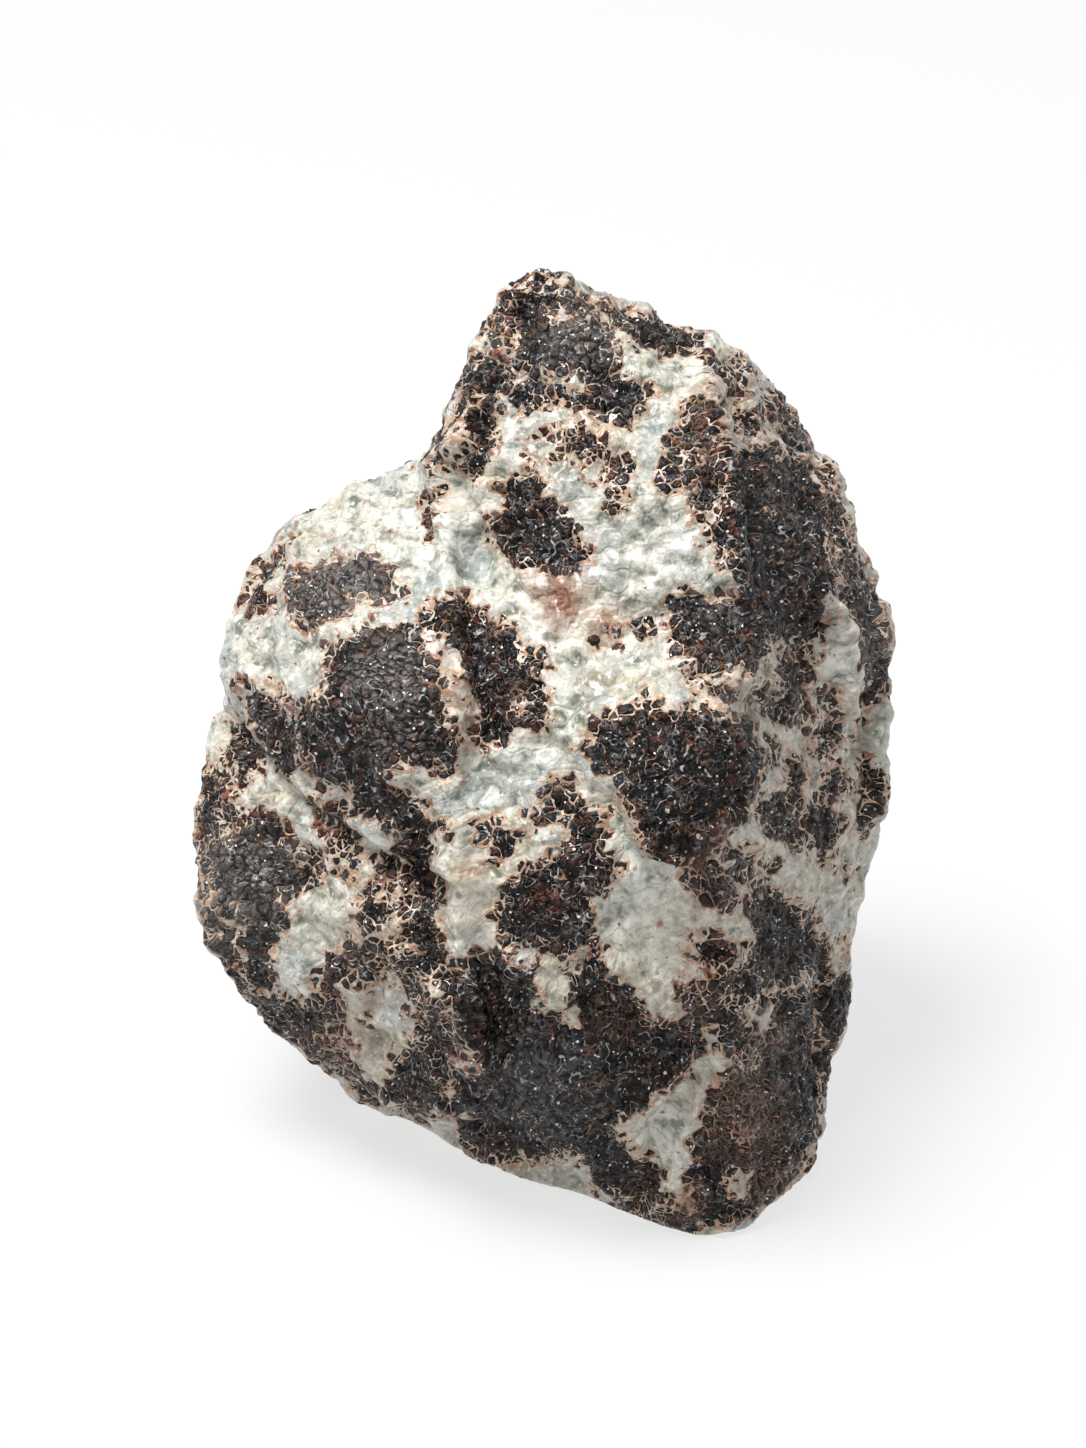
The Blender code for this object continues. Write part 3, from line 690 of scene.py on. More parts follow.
def two_grains(bench, place, net):
    """Coarse grains in some zones and small ones in others, above all in the net zones."""
    coarse = grain_nodes(bench, place, GRAIN_SIZE)
    fine = grain_nodes(bench, place, SMALL_GRAIN_SIZE)
    fine[0] = fine[0] * SMALL_GRAIN_EDGE
    zone = bench.noise(place, GRAIN_ZONE_SIZE) + net * SMALL_IN_NETS
    small = bench.math("GREATER_THAN", zone, SMALL_FROM)
    edge = bench.mix(small, coarse[0], fine[0], "FLOAT")
    own, to_middle, beside, to_beside = [
        bench.mix(small, first, second, "VECTOR") for first, second in zip(coarse[1:], fine[1:])
    ]
    return edge, bench.split(own), to_middle, bench.split(beside), to_beside


def darkness_nodes(bench, place, grain, fields):
    """How dark a place is: above 0 it is dark mineral. Whole grains are dark or pale, and where a grain lies
    near the edge of a patch or in a net zone it pales towards its border. Also how dark the grain is as a
    whole, and whether the grain beside it is of the other mineral."""
    edge, own, to_middle, beside, to_beside = grain
    dark_mm, dark_slope, net = fields
    veined = bench.larger(net, bench.ramp(bench.noise(place, VEINED_SIZE), 0.6, 0.7))
    deep = bench.ramp(dark_mm, DEEP_FROM, DEEP_FULLY, 0.0, DEEP_GAIN) * (1.0 - veined)
    most = deep + EDGE_CAP - veined * NET_LOSS
    least = bench.ramp(net, 0.0, 1.0, LEAST_OUTSIDE, LEAST_IN_NETS)
    netted = net * NET_GAIN

    def whole_of(number, way):
        at_middle = dark_mm + bench.vector("DOT_PRODUCT", dark_slope, way, "Value")
        straying = (number - STRAY_MIDDLE) * STRAY
        return bench.smaller(bench.larger(at_middle, least) + straying + netted, most)

    whole = whole_of(own[0], to_middle)
    other = whole_of(beside[0], to_beside)
    darker = bench.ramp(bench.larger(whole, other), -CONTACT, CONTACT)
    paler = bench.ramp(bench.smaller(whole, other), CONTACT, -CONTACT)
    fringe = (bench.noise(place, FRINGE_SIZE) - 0.5) * FRINGE
    border = bench.ramp(edge, 0.0, BORDER_WIDTH, BORDER_LOSS, 0.0, smooth=False)
    return whole + fringe - border, whole, darker * paler


def relief_group():
    """Geometry nodes that raise the surface: domes in the dark mineral, soft crystals in the pale one, pits,
    lumps, and the forms of the photograph."""
    tree = bpy.data.node_groups.new("Raise the grain", "GeometryNodeTree")
    for way in ("INPUT", "OUTPUT"):
        tree.interface.new_socket("Geometry", in_out=way, socket_type="NodeSocketGeometry")
    bench = Bench(tree)
    start = bench.add("NodeGroupInput")
    end = bench.add("NodeGroupOutput")

    def named(name, data_type="FLOAT"):
        node = bench.add("GeometryNodeInputNamedAttribute", {"Name": name}, data_type=data_type)
        return bench.give(node, "Attribute")

    place = named("rest_place", "FLOAT_VECTOR")
    fields = (named("dark_mm"), named("dark_slope", "FLOAT_VECTOR"), named("net"))
    grain = two_grains(bench, place, fields[2])
    darkness, _, _ = darkness_nodes(bench, place, grain, fields)
    edge, own = grain[:2]
    fall = bench.ramp(edge, 0.0, GRAIN_DOME, 1.0, 0.0, smooth=False)
    grains = (1.0 - fall * fall) * (own[1] * GRAIN_SPREAD + GRAIN_LOWEST) * GRAIN_LIFT
    crystal_edge, crystal_own = grain_nodes(bench, place, CRYSTAL_SIZE)[:2]
    crystals = bench.ramp(crystal_edge, 0.0, CRYSTAL_DOME) * CRYSTAL_LIFT
    ripples = bench.noise(place, RIPPLE_SIZE, RIPPLE_DETAIL) * RIPPLE_LIFT
    pale = crystals + ripples + bench.split(crystal_own)[1] * CRYSTAL_STEP
    lift = pale + bench.ramp(darkness, GRAINS_FROM, GRAINS_FULLY) * (grains - pale)
    lumps = (bench.noise(place, LUMP_SIZE) - 0.5) * LUMP_LIFT
    knobs = (bench.noise(place, KNOB_SIZE, 0.0) - 0.5) * KNOB_LIFT
    pit = bench.ramp(bench.cells(place, PIT_SIZE)[0], PIT_FLOOR, PIT_REACH, -PIT_DEPTH, 0.0)
    level = lift + lumps + pit + knobs + named("form_mm") - GRAIN_LIFT * GRAIN_LOWEST

    position = bench.give(bench.add("GeometryNodeInputPosition"))
    normal = bench.give(bench.add("GeometryNodeInputNormal"))
    offset = level * bench.ramp(bench.split(position)[2] / MM, 0.0, FOOT_FADE)
    push = bench.vector("SCALE", normal, offset * MM)
    moved = bench.add("GeometryNodeSetPosition", {"Geometry": bench.give(start), "Offset": push})
    bench.join(bench.give(moved), end.inputs[0])
    return tree


def only(piece):
    """Selects this piece alone and makes it the active one."""
    bpy.ops.object.select_all(action="DESELECT")
    piece.select_set(True)
    bpy.context.view_layer.objects.active = piece


def of_points(mesh, what):
    """The places ("co") or the normals ("normal") of the mesh's points."""
    flat = np.empty(len(mesh.vertices) * 3)
    mesh.vertices.foreach_get(what, flat)
    return flat.reshape(-1, 3)


def keep_on_points(mesh, name, values):
    """Writes one number or one vector for each point of the mesh."""
    vectors = values.ndim == 2
    made = mesh.attributes.new(name, "FLOAT_VECTOR" if vectors else "FLOAT", "POINT")
    made.data.foreach_set("vector" if vectors else "value", values.astype(np.float32).ravel())


def line_of_sight():
    """The camera's axes: to the right, up, and from the stone towards the camera."""
    tilt = radians(CAMERA_LOOKS_DOWN)
    right = np.array([1.0, 0.0, 0.0])
    up = np.array([0.0, sin(tilt), cos(tilt)])
    toward = np.array([0.0, -cos(tilt), sin(tilt)])
    return right, up, toward


def in_the_photo(places):
    """Where points of the stone, in millimetres, lie in the photograph, and how long a pixel is there."""
    right, up, toward = line_of_sight()
    from_aim = places - np.array(CAMERA_AIM)
    pixels_per_slope = CAMERA_LENS / CAMERA_SENSOR * PHOTO_HIGH
    pixel = (CAMERA_AWAY - from_aim @ toward) / pixels_per_slope
    across = PHOTO_WIDE / 2 + (from_aim @ right) / pixel
    down = PHOTO_HIGH / 2 - (from_aim @ up) / pixel
    return np.stack([across, down], axis=1), pixel


def offset_from_side(spots, start, side):
    """From the nearest place on a straight side to each spot."""
    share = np.clip((spots - start) @ side / (side @ side), 0, 1)
    return spots - start - share[:, None] * side


def beside_line(spots, line):
    """How far each spot is from a line of straight sides, and how far to the left of its run, in pixels."""
    corners = np.array(line, float)
    nearest = np.full(len(spots), np.inf)
    leftward = np.zeros(len(spots))
    for start, end in zip(corners[:-1], corners[1:]):
        side = end - start
        offset = offset_from_side(spots, start, side)
        distance = np.hypot(offset[:, 0], offset[:, 1])
        closer = distance < nearest
        nearest[closer] = distance[closer]
        across = side[1] * offset[closer, 0] - side[0] * offset[closer, 1]
        leftward[closer] = across / np.hypot(*side)
    return nearest, leftward


def formed(spots, pixel):
    """How far the ridges, creases, swellings, hollows and folds raise each point, in millimetres."""
    raised = np.zeros(len(spots))
    for line, half_width, height in FORMS:
        nearest, _ = beside_line(spots, line)
        share = np.clip(1 - (nearest * pixel / half_width) ** 2, 0, 1)
        raised += height * share * share
    for across, down, radius, height in SWELLINGS:
        distance = np.hypot(spots[:, 0] - across, spots[:, 1] - down)
        share = np.clip(1 - (distance / radius) ** 2, 0, 1)
        raised += height * share * share
    for line, fade, height in FOLDS:
        nearest, leftward = beside_line(spots, line)
        apart = leftward * pixel
        step = apart / (np.abs(apart) + FOLD_SHARPNESS)
        raised += height * step * smooth_share(-nearest * pixel, -fade, 0)
    return raised


def inside_outline(spots, outline):
    """How far each spot is inside an outline, in pixels, negative outside, and which way that grows."""
    corners = np.array(outline, float)
    nearest = np.full(len(spots), np.inf)
    away = np.zeros((len(spots), 2))
    inside = np.zeros(len(spots), bool)
    for start, end in zip(corners, np.roll(corners, -1, axis=0)):
        side = end - start
        offset = offset_from_side(spots, start, side)
        distance = np.hypot(offset[:, 0], offset[:, 1])
        closer = distance < nearest
        nearest[closer] = distance[closer]
        away[closer] = offset[closer]
        if side[1] != 0:
            crosses = (start[1] > spots[:, 1]) != (end[1] > spots[:, 1])
            crossing = start[0] + (spots[:, 1] - start[1]) * side[0] / side[1]
            inside ^= crosses & (spots[:, 0] < crossing)
    sign = np.where(inside, 1.0, -1.0)
    slope = away * (sign / np.maximum(nearest, 0.01))[:, None]
    return nearest * sign, slope


def outlined_dark(spots):
    """The dark patches of the photograph as one field, less the pale islands in them."""
    depth = np.full(len(spots), -np.inf)
    slope = np.zeros((len(spots), 2))
    for outline in DARK_PATCHES.values():
        patch_depth, patch_slope = inside_outline(spots, outline)
        deeper = patch_depth > depth
        depth[deeper] = patch_depth[deeper]
        slope[deeper] = patch_slope[deeper]
    for outline in PALE_ISLANDS.values():
        island_depth, island_slope = inside_outline(spots, outline)
        shallower = -island_depth < depth
        depth[shallower] = -island_depth[shallower]
        slope[shallower] = -island_slope[shallower]
    return depth, slope


def strewn(places, recipe, chance):
    """Crooked patches strewn over the stone as one field: how far inside one a point is, and which way that
    grows."""
    count, smallest, largest = recipe
    turns = chance.uniform(0, 2 * np.pi, (2, 3))
    places = places + CROOKED * np.sin(places[:, [1, 2, 0]] / CROOKED_SIZE + turns[0])
    places = places + FINER_CROOKED * np.sin(places[:, [2, 0, 1]] * FINER_WAVES / CROOKED_SIZE + turns[1])
    middles = places[chance.choice(len(places), count, replace=False)]
    radii = chance.uniform(smallest, largest, count)
    depth = np.full(len(places), -np.inf)
    slope = np.zeros((len(places), 3))
    for middle, radius in zip(middles, radii):
        stretch = chance.uniform(NARROWEST, 1.0, 3)
        offset = (places - middle) / stretch
        distance = np.linalg.norm(offset, axis=1)
        patch_depth = radius - distance
        deeper = patch_depth > depth
        depth[deeper] = patch_depth[deeper]
        slope[deeper] = -offset[deeper] / np.maximum(distance[deeper], 0.01)[:, None]
    return depth, slope


def spotted(spots, marks):
    """Soft round stains in the photograph, from 0 to 1, with a full middle."""
    share = np.zeros(len(spots))
    for across, down, radius, strength in marks:
        distance = np.hypot(spots[:, 0] - across, spots[:, 1] - down)
        share = np.maximum(share, strength * np.clip(STAIN_FULLNESS * (1 - distance / radius), 0, 1))
    return share


def smooth_share(values, low, high):
    share = np.clip((values - low) / (high - low), 0, 1)
    return share * share * (3 - 2 * share)


def lay_patches(mesh):
    """Writes onto the stone where each mineral and each stain lies."""
    places = of_points(mesh, "co") / MM
    right, up, toward = line_of_sight()
    spots, pixel = in_the_photo(places)
    facing = of_points(mesh, "normal") @ toward
    seen = smooth_share(facing, SEEN_FROM, SEEN_WHOLLY)
    depth, slope = outlined_dark(spots)
    seen_depth = np.clip(depth * pixel, -MOST_DEPTH, MOST_DEPTH)
    seen_slope = slope[:, :1] * right - slope[:, 1:] * up
    chance = np.random.default_rng(STREWN_SEED)
    hidden_depth, hidden_slope = strewn(places, STREWN_DARK, chance)
    hidden_depth = np.clip(hidden_depth, -MOST_DEPTH, MOST_DEPTH)
    along = (places @ toward)[:, None] * toward
    form = formed(spots, pixel) * smooth_share(facing, FORMED_FROM, FORMED_WHOLLY)
    keep_on_points(mesh, "rest_place", places - (1 - SIGHT_SQUEEZE) * along)
    keep_on_points(mesh, "form_mm", form)
    keep_on_points(mesh, "dark_mm", hidden_depth + seen * (seen_depth - hidden_depth))
    keep_on_points(mesh, "dark_slope", hidden_slope + seen[:, None] * (seen_slope - hidden_slope))
    for name, (places_in_photo, recipe) in MARKS.items():
        strewn_depth, _ = strewn(places, recipe, chance)
        hidden = np.clip(strewn_depth / STAIN_FADE, 0, 1)
        keep_on_points(mesh, name, hidden + seen * (spotted(spots, places_in_photo) - hidden))


def stone_mesh(node):
    """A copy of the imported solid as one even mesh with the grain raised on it."""
    stone = bpy.data.objects.new("stone", node.data.copy())
    bpy.context.scene.collection.objects.link(stone)
    only(stone)
    stone.data.materials.clear()
    bpy.ops.object.mode_set(mode="EDIT")
    bpy.ops.mesh.select_all(action="SELECT")
    bpy.ops.mesh.remove_doubles(threshold=SAME_POINT)
    bpy.ops.object.mode_set(mode="OBJECT")
    even = stone.modifiers.new("Even mesh", "REMESH")
    even.mode = "VOXEL"
    even.voxel_size = VOXEL * MM
    soft = stone.modifiers.new("Soften facets", "SMOOTH")
    soft.factor = 0.5
    soft.iterations = SMOOTHING
    for modifier in ("Even mesh", "Soften facets"):
        bpy.ops.object.modifier_apply(modifier=modifier)
    lay_patches(stone.data)
    relief = stone.modifiers.new("Relief", "NODES")
    relief.node_group = relief_group()
    bpy.ops.object.modifier_apply(modifier="Relief")
    points = of_points(stone.data, "co")
    points[:, 2] = np.maximum(points[:, 2], 0)
    stone.data.vertices.foreach_set("co", points.ravel())
    stone.data.shade_smooth()
    return stone


NUMBER = "NodeSocketFloat"
VECTOR = "NodeSocketVector"
COLOUR = "NodeSocketColor"
SURFACE = {"Colour": COLOUR, "Roughness": NUMBER, "Height": NUMBER}


def group_of(name, inputs, outputs):
    """An empty shader node group with these sockets, its bench, and what it is given."""
    tree = bpy.data.node_groups.new(name, "ShaderNodeTree")
    for way, sockets in (("INPUT", inputs), ("OUTPUT", outputs)):
        for socket, kind in sockets.items():
            tree.interface.new_socket(socket, in_out=way, socket_type=kind)
    bench = Bench(tree)
    start = bench.add("NodeGroupInput")
    return bench, {socket: bench.give(start, socket) for socket in inputs}


def handed_out(bench, results):
    """The finished group, giving these results."""
    bench.add("NodeGroupOutput", results)
    return bench.tree


def grains_group():
    """Which grain a place is in, and how dark it is there."""
    bench, given = group_of(
        "Grains",
        {"Place": VECTOR, "Dark mm": NUMBER, "Dark slope": VECTOR, "Net": NUMBER},
        {"Edge": NUMBER, "Own": VECTOR, "Darkness": NUMBER, "Whole": NUMBER, "Contact": NUMBER},
    )
    grain = two_grains(bench, given["Place"], given["Net"])
    fields = (given["Dark mm"], given["Dark slope"], given["Net"])
    darkness, whole, contact = darkness_nodes(bench, given["Place"], grain, fields)
    edge, own = grain[:2]
    own = bench.give(bench.add("ShaderNodeCombineXYZ", dict(zip("XYZ", own))))
    return handed_out(
        bench, {"Edge": edge, "Own": own, "Darkness": darkness, "Whole": whole, "Contact": contact}
    )


def dark_group():
    """Brown-black grains with a bluish or reddish cast, dust with painted sheen, painted shade in the
    grooves, fine pale threads, and white specks and curls that are partly painted glints.
    """
    bench, given = group_of(
        "Dark mineral",
        {"Place": VECTOR, "Edge": NUMBER, "Own": VECTOR, "Dust_and_sheen": NUMBER, "Blue": NUMBER},
        SURFACE,
    )
    place, edge, blue = given["Place"], given["Edge"], given["Blue"]
    own = bench.split(given["Own"])
    blotch = bench.noise(place, BLOTCH_SIZE)
    mottle = bench.noise(place, MOTTLE_SIZE, 3.0)
    hue = bench.noise(place, HUE_SIZE)
    plate_place = wobbled(bench, place, 0.6, 0.35)
    plate_own = bench.split(bench.cells(plate_place, PLATE_SIZE)[1])
    plate_edge = bench.border(plate_place, PLATE_SIZE)

    # Each grain's own cast, the plates in it, dust and painted sheen on it, and painted shade in the grooves
    # round it
    colour = bench.mix(bench.ramp(own[1], 0.1, 0.9), SOOT, BROWN_BLACK)
    bluish = (bench.ramp(blotch, 0.5, 0.62, 0.0, 0.7) + blue) * bench.ramp(own[2], 0.1, 0.9, 0.3, 1.0)
    colour = bench.mix(bluish * BLUISH, colour, SLATE)
    reddish = bench.ramp(blotch, 0.52, 0.4) * bench.ramp(own[0], 0.3, 0.8) * bench.ramp(blue, 0.6, 0.1)
    colour = bench.mix(reddish * REDDENED, colour, REDDISH)
    colour = bench.tint(colour, [
        (plate_own[0], 0.5, 1.0, 0.4, GREY_PLATE),
        (plate_own[1], 0.84, 0.98, 0.3, RUST),
        (mottle, 0.52, 0.7, 0.1, DUST_AND_SHEEN),
    ])
    colour = bench.mix(given["Dust_and_sheen"] * bench.ramp(mottle, 0.35, 0.6, 0.3, 0.75), colour, DUST_AND_SHEEN)
    colour = bench.mix(bench.ramp(edge, 0.0, 0.17), GROOVE_SHADE, colour)

    # Threads between the plates, and curled ones that run over them, partly pale threads and partly painted
    # glints
    warm = bench.ramp(hue, 0.5, 0.58) * bench.ramp(blue, 0.9, 0.2)
    threads = bench.ramp(plate_edge, 0.08, 0.02) * bench.ramp(bench.noise(place, 1.3), 0.47, 0.6)
    colour = bench.mix(threads * THREADS, colour, bench.mix(warm, DARK_THREAD, RUSTY_TAN))
    curl = abs(bench.noise(place, CURL_SIZE, 0.0) - 0.5)
    elsewhere = bench.vector("ADD", place, (7.0, 3.0, 5.0))
    kept = bench.noise(elsewhere, 0.7, 1.0) + bench.ramp(bench.noise(elsewhere, 5.0), 0.35, 0.65, -0.06, 0.08)
    curled_glints = bench.ramp(curl, 0.04, 0.012) * bench.ramp(kept, 0.53, 0.6)
    colour = bench.mix(curled_glints * CURLED_THREADS_AND_GLINTS, colour, bench.mix(warm, CURL_GLINT_GREY, TAN))

    # White specks painted into the colour: partly white crystals, partly painted glints
    for size, reach, rarity in GLINTS:
        distance, fleck_own, _ = bench.cells(place, size)
        fleck_own = bench.split(fleck_own)
        spot = bench.ramp(distance, reach, reach * 0.6) * bench.ramp(fleck_own[0], rarity, rarity + 0.08)
        colour = bench.mix(spot, colour, bench.mix(bench.ramp(fleck_own[1], 0.55, 0.65), GLINT, TAN))

    ditch = bench.ramp(edge, 0.0, 0.35, -0.3, 0.0)
    plates = bench.ramp(plate_edge, 0.0, 0.25, 0.0, 0.1) + plate_own[2] * 0.06
    return handed_out(bench, {
        "Colour": colour,
        "Roughness": bench.ramp(mottle, 0.3, 0.7, 0.24, 0.5),
        "Height": ditch + (mottle - 0.5) * 0.2 + plates,
    })


def pale_group():
    """Milky greenish-white crystals with grey-green seams, cream and icy parts, and small brown pits."""
    bench, given = group_of(
        "Pale mineral",
        {"Place": VECTOR, "Cream": NUMBER, "Blue": NUMBER, "Murky": NUMBER, "Milky": NUMBER},
        SURFACE,
    )
    place = given["Place"]
    edge, own = grain_nodes(bench, place, CRYSTAL_SIZE)[:2]
    soft = bench.noise(place, RIPPLE_SIZE, RIPPLE_DETAIL)
    fine = bench.noise(place, FINE_SIZE)
    broad = bench.noise(place, BROAD_SIZE)
    cloud = bench.noise(place, CLOUD_SIZE, 3.0)
    speckle = bench.noise(place, SPECKLE_SIZE)

    # Broad parts of the mineral, then fine grain and speckles over them. The ripples' hollows are grey-green
    # and their
    #     crests milky: partly the mineral's own tone, partly painted shade following the ripples' relief
    colour = bench.mix(bench.ramp(soft, 0.34, 0.5), GREY_GREEN, GREENISH_WHITE)
    colour = bench.tint(colour, [(soft, 0.5, 0.68, 1.0, MILK), (cloud, 0.5, 0.66, 0.7, MILK)])
    icy = given["Blue"] * ICY + bench.ramp(broad, 0.5, 0.66, 0.0, 0.6)
    icy = icy + bench.ramp(bench.split(own)[0], 0.5, 1.0, 0.0, 0.25)
    colour = bench.mix(icy, colour, ICE_GREY)
    creamy = given["Cream"] * CREAMY + bench.ramp(broad, 0.46, 0.34, 0.0, 0.3)
    colour = bench.mix(creamy, colour, CREAM)
    colour = bench.mix(given["Murky"] * bench.ramp(cloud, 0.36, 0.6, 1.0, 0.45), colour, MURKY)
    colour = bench.mix(given["Milky"] * bench.ramp(soft, 0.38, 0.56, 0.25, 0.85), colour, WHITE_CRYSTAL)
    colour = bench.tint(colour, [
        (fine, 0.44, 0.3, 0.4, GREY_GREEN),
        (fine, 0.54, 0.7, 0.6, WHITE_CRYSTAL),
        (speckle, 0.43, 0.3, 0.25, GREY_GREEN),
        (speckle, 0.6, 0.72, 0.4, WHITE_CRYSTAL),
    ])

    # Thin tan veins, and seams between the crystals
    wave = abs(bench.noise(place, VEIN_SIZE, 1.0) - 0.5)
    vein = bench.ramp(wave, 0.022, 0.008) * bench.ramp(cloud, 0.45, 0.55)
    colour = bench.mix(vein * VEINS, colour, TAN)
    seam = bench.ramp(edge, 0.1, 0.02) * bench.ramp(cloud, 0.52, 0.42)
    colour = bench.mix(seam * CRYSTAL_SEAMS, colour, GREY_GREEN)

    for size, reach, rarity, halo_reach in PITS:
        distance, pit_own, _ = bench.cells(wobbled(bench, place, 0.5, 0.3), size)
        pit_own = bench.split(pit_own)
        chosen = bench.ramp(pit_own[0], rarity, rarity + 0.06)
        pits = bench.ramp(distance, reach, reach * 0.5) * chosen
        halo = bench.ramp(distance, halo_reach, reach) * chosen
        colour = bench.mix(halo * 0.7, colour, bench.mix(pit_own[1], TAN, RUST))
        colour = bench.mix(pits * bench.ramp(pit_own[2], 0.3, 0.5), colour, PIT_BROWN)

    facets = bench.ramp(edge, 0.0, 0.25, -0.06, 0.0)
    return handed_out(bench, {
        "Colour": colour,
        "Roughness": bench.ramp(fine, 0.3, 0.7, 0.3, 0.55),
        "Height": facets + (soft - 0.5) * 0.5 + (fine - 0.5) * 0.15 + speckle * 0.05,
    })


def rims_group():
    """Tan and rusty seams round the dark grains, and rust that has bled into the pale mineral beside them."""
    bench, given = group_of(
        "Rusty seams",
        {"Place": VECTOR, "Dark mm": NUMBER, "Edge": NUMBER, "Darkness": NUMBER, "Whole": NUMBER,
         "Contact": NUMBER, "Rust": NUMBER},
        {"Colour": COLOUR, "Share": NUMBER},
    )
    place, edge, darkness = given["Place"], given["Edge"], given["Darkness"]
    on_pale = bench.ramp(darkness, 0.05, -0.12)
    round_grain = on_pale * bench.ramp(darkness, -1.1, -0.7) * bench.ramp(given["Whole"], -0.25, 0.1)
    uneven = bench.noise(place, 0.4, 1.0) * (RIM_WIDTH * 2)
    at_contact = bench.ramp(edge - uneven, 0.05, -0.05) * given["Contact"]
    rusty_edge = given["Rust"] * bench.ramp(edge, 0.13, 0.04, 0.0, 0.9)
    line = bench.larger(bench.larger(round_grain, at_contact), rusty_edge)
    line = line * bench.ramp(bench.noise(place, 2.2), 0.28, 0.46, 0.3, 1.0)

    reach = given["Dark mm"] + bench.ramp(bench.noise(place, 1.6), 0.3, 0.7, -1.0, 1.0)
    bled = bench.ramp(reach, BLED_REACH, 0.2, 0.0, 0.5) * on_pale
    bled = bled * bench.ramp(bench.noise(place, 0.7, 3.0), 0.4, 0.62, 0.15, 1.0)
    stain = given["Rust"] * bench.ramp(bench.noise(place, 1.3), 0.34, 0.46)
    stained = stain * bench.ramp(darkness, 0.1, -0.1, 0.1, 0.9)

    reddened = bench.larger(stain * 0.65, bench.ramp(bench.noise(place, 3.0), 0.5, 0.68))
    colour = bench.mix(reddened, TAN, RUST)
    lighter = bench.ramp(bench.noise(place, 0.6), 0.46, 0.62, 0.0, 0.75)
    colour = bench.mix(lighter * (1.0 - stain), colour, PINKISH_WHITE)
    deep = stain * bench.ramp(bench.noise(place, 0.4), 0.45, 0.6)
    colour = bench.mix(deep, colour, DEEP_RUST)
    share = bench.larger(bench.larger(line, bled), stained)
    return handed_out(bench, {"Colour": colour, "Share": share})


def stone_material():
    material = bpy.data.materials.new("mottled stone")
    material.use_nodes = True
    bench = Bench(material.node_tree)
    shader = material.node_tree.nodes["Principled BSDF"].inputs

    def named(name, result="Fac"):
        return bench.give(bench.add("ShaderNodeAttribute", attribute_name=name), result)

    def placed(group):
        """What a group gives, when each of its inputs is joined to the field of that name."""
        node = bench.add("ShaderNodeGroup", node_tree=group)
        for socket in node.inputs:
            bench.join(fields[socket.name], socket)
        return {socket.name: bench.give(node, socket.name) for socket in node.outputs}

    fields = {name.capitalize(): named(name) for name in MARKS}
    fields["Place"] = named("rest_place", "Vector")
    fields["Dark mm"] = named("dark_mm")
    fields["Dark slope"] = named("dark_slope", "Vector")
    fields.update(placed(grains_group()))
    dark = placed(dark_group())
    pale = placed(pale_group())
    seams = placed(rims_group())
    is_dark = bench.ramp(fields["Darkness"], -0.08, 0.08)
    colour = bench.mix(is_dark, pale["Colour"], dark["Colour"])
    height = bench.mix(is_dark, pale["Height"], dark["Height"], "FLOAT") + seams["Share"] * 0.05
    bump = bench.add("ShaderNodeBump", {"Height": height, "Distance": MM, "Strength": 1.0})
    bench.join(bench.mix(seams["Share"], colour, seams["Colour"]), shader["Base Color"])
    bench.join(bench.mix(is_dark, pale["Roughness"], dark["Roughness"], "FLOAT"), shader["Roughness"])
    bench.join((1.0 - is_dark) * PALE_GLOSS, shader["Coat Weight"])
    bench.join(bench.give(bump, "Normal"), shader["Normal"])
    shader["Coat Roughness"].default_value = GLOSS_ROUGHNESS
    shader["Specular IOR Level"].default_value = 0.18
    return material


def white_table():
    bpy.ops.mesh.primitive_plane_add(size=TABLE_SIZE, location=(0, 0, -TABLE_GAP * MM))
    floor = bpy.context.object
    floor.name = "floor"
    table = bpy.data.materials.new("white table")
    table.use_nodes = True
    shader = table.node_tree.nodes["Principled BSDF"].inputs
    shader["Base Color"].default_value = paint(TABLE_PAINT)
    shader["Roughness"].default_value = 0.9
    shader["Specular IOR Level"].default_value = 0.2
    shader["Emission Color"].default_value = (1.0, 1.0, 1.0, 1.0)
    shader["Emission Strength"].default_value = TABLE_GLOW
    floor.data.materials.append(table)


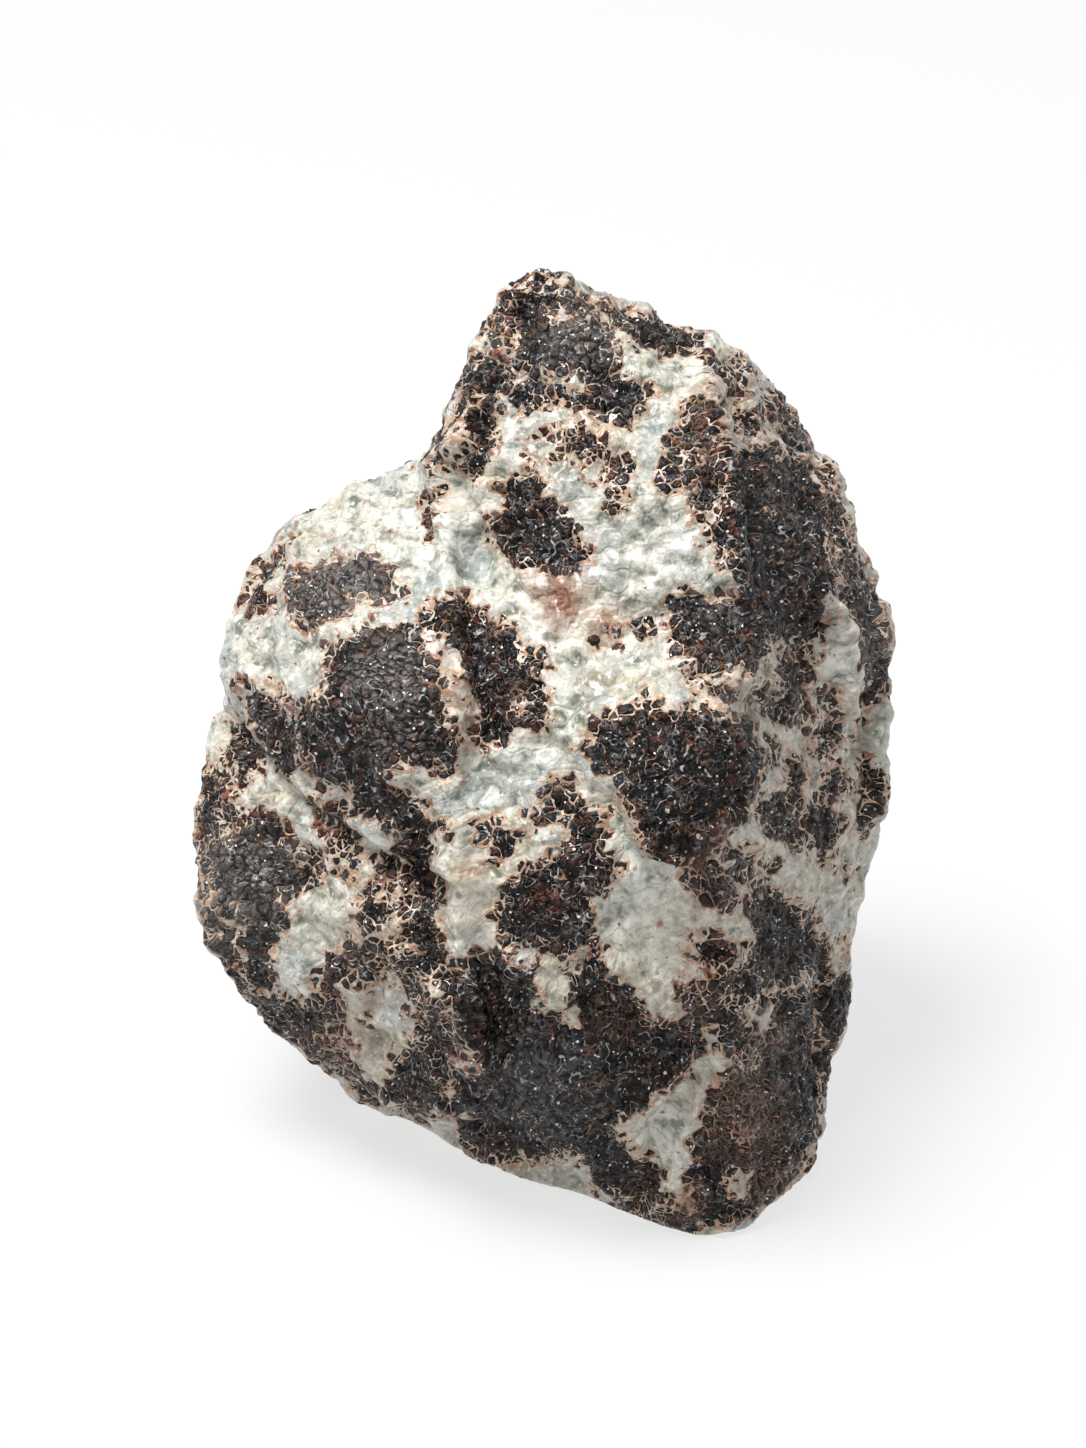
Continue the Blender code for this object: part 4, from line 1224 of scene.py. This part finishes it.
def key_lamp():
    """A square lamp at the left, turned to the middle of the stone."""
    place, size, power = KEY_LAMP
    bpy.ops.object.light_add(type="AREA", location=place)
    lamp = bpy.context.object
    lamp.name = "key lamp"
    lamp.data.size = size
    lamp.data.energy = power
    aim = Vector(CAMERA_AIM) * MM
    lamp.rotation_euler = (aim - lamp.location).to_track_quat("-Z", "Y").to_euler()


def light_the_table():
    world = bpy.data.worlds.new("white surroundings")
    world.use_nodes = True
    background = world.node_tree.nodes["Background"]
    background.inputs["Color"].default_value = (1.0, 1.0, 1.0, 1.0)
    bench = Bench(world.node_tree)
    looked_at = bench.give(bench.add("ShaderNodeLightPath"), "Is Camera Ray")
    bench.join(bench.ramp(looked_at, 0.0, 1.0, SURROUNDINGS_LIGHT, 1.0), background.inputs["Strength"])
    bpy.context.scene.world = world
    bpy.context.scene.view_settings.view_transform = "Standard"
    key_lamp()


def photo_camera():
    right, up, toward = line_of_sight()
    aim = Vector(CAMERA_AIM)
    bpy.ops.object.camera_add(location=(aim + Vector(toward) * CAMERA_AWAY) * MM)
    camera = bpy.context.object
    turned = Matrix((right, up, toward)).transposed()
    camera.rotation_euler = turned.to_euler()
    camera.data.lens = CAMERA_LENS
    camera.data.sensor_width = CAMERA_SENSOR
    camera.data.clip_start = 0.01
    camera.data.clip_end = 50.0
    bpy.context.scene.camera = camera


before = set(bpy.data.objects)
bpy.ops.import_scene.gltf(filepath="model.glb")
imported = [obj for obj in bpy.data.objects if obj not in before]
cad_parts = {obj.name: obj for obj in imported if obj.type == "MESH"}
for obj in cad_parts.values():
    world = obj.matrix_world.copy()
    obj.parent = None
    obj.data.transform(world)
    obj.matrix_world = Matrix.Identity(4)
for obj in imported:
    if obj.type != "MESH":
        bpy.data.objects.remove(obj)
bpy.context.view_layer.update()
photo_camera()
stone = stone_mesh(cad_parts["rock"])
stone.data.materials.append(stone_material())
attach(stone, "root")
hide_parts("rock")
white_table()
light_the_table()
print("stone has", len(stone.data.polygons), "faces")
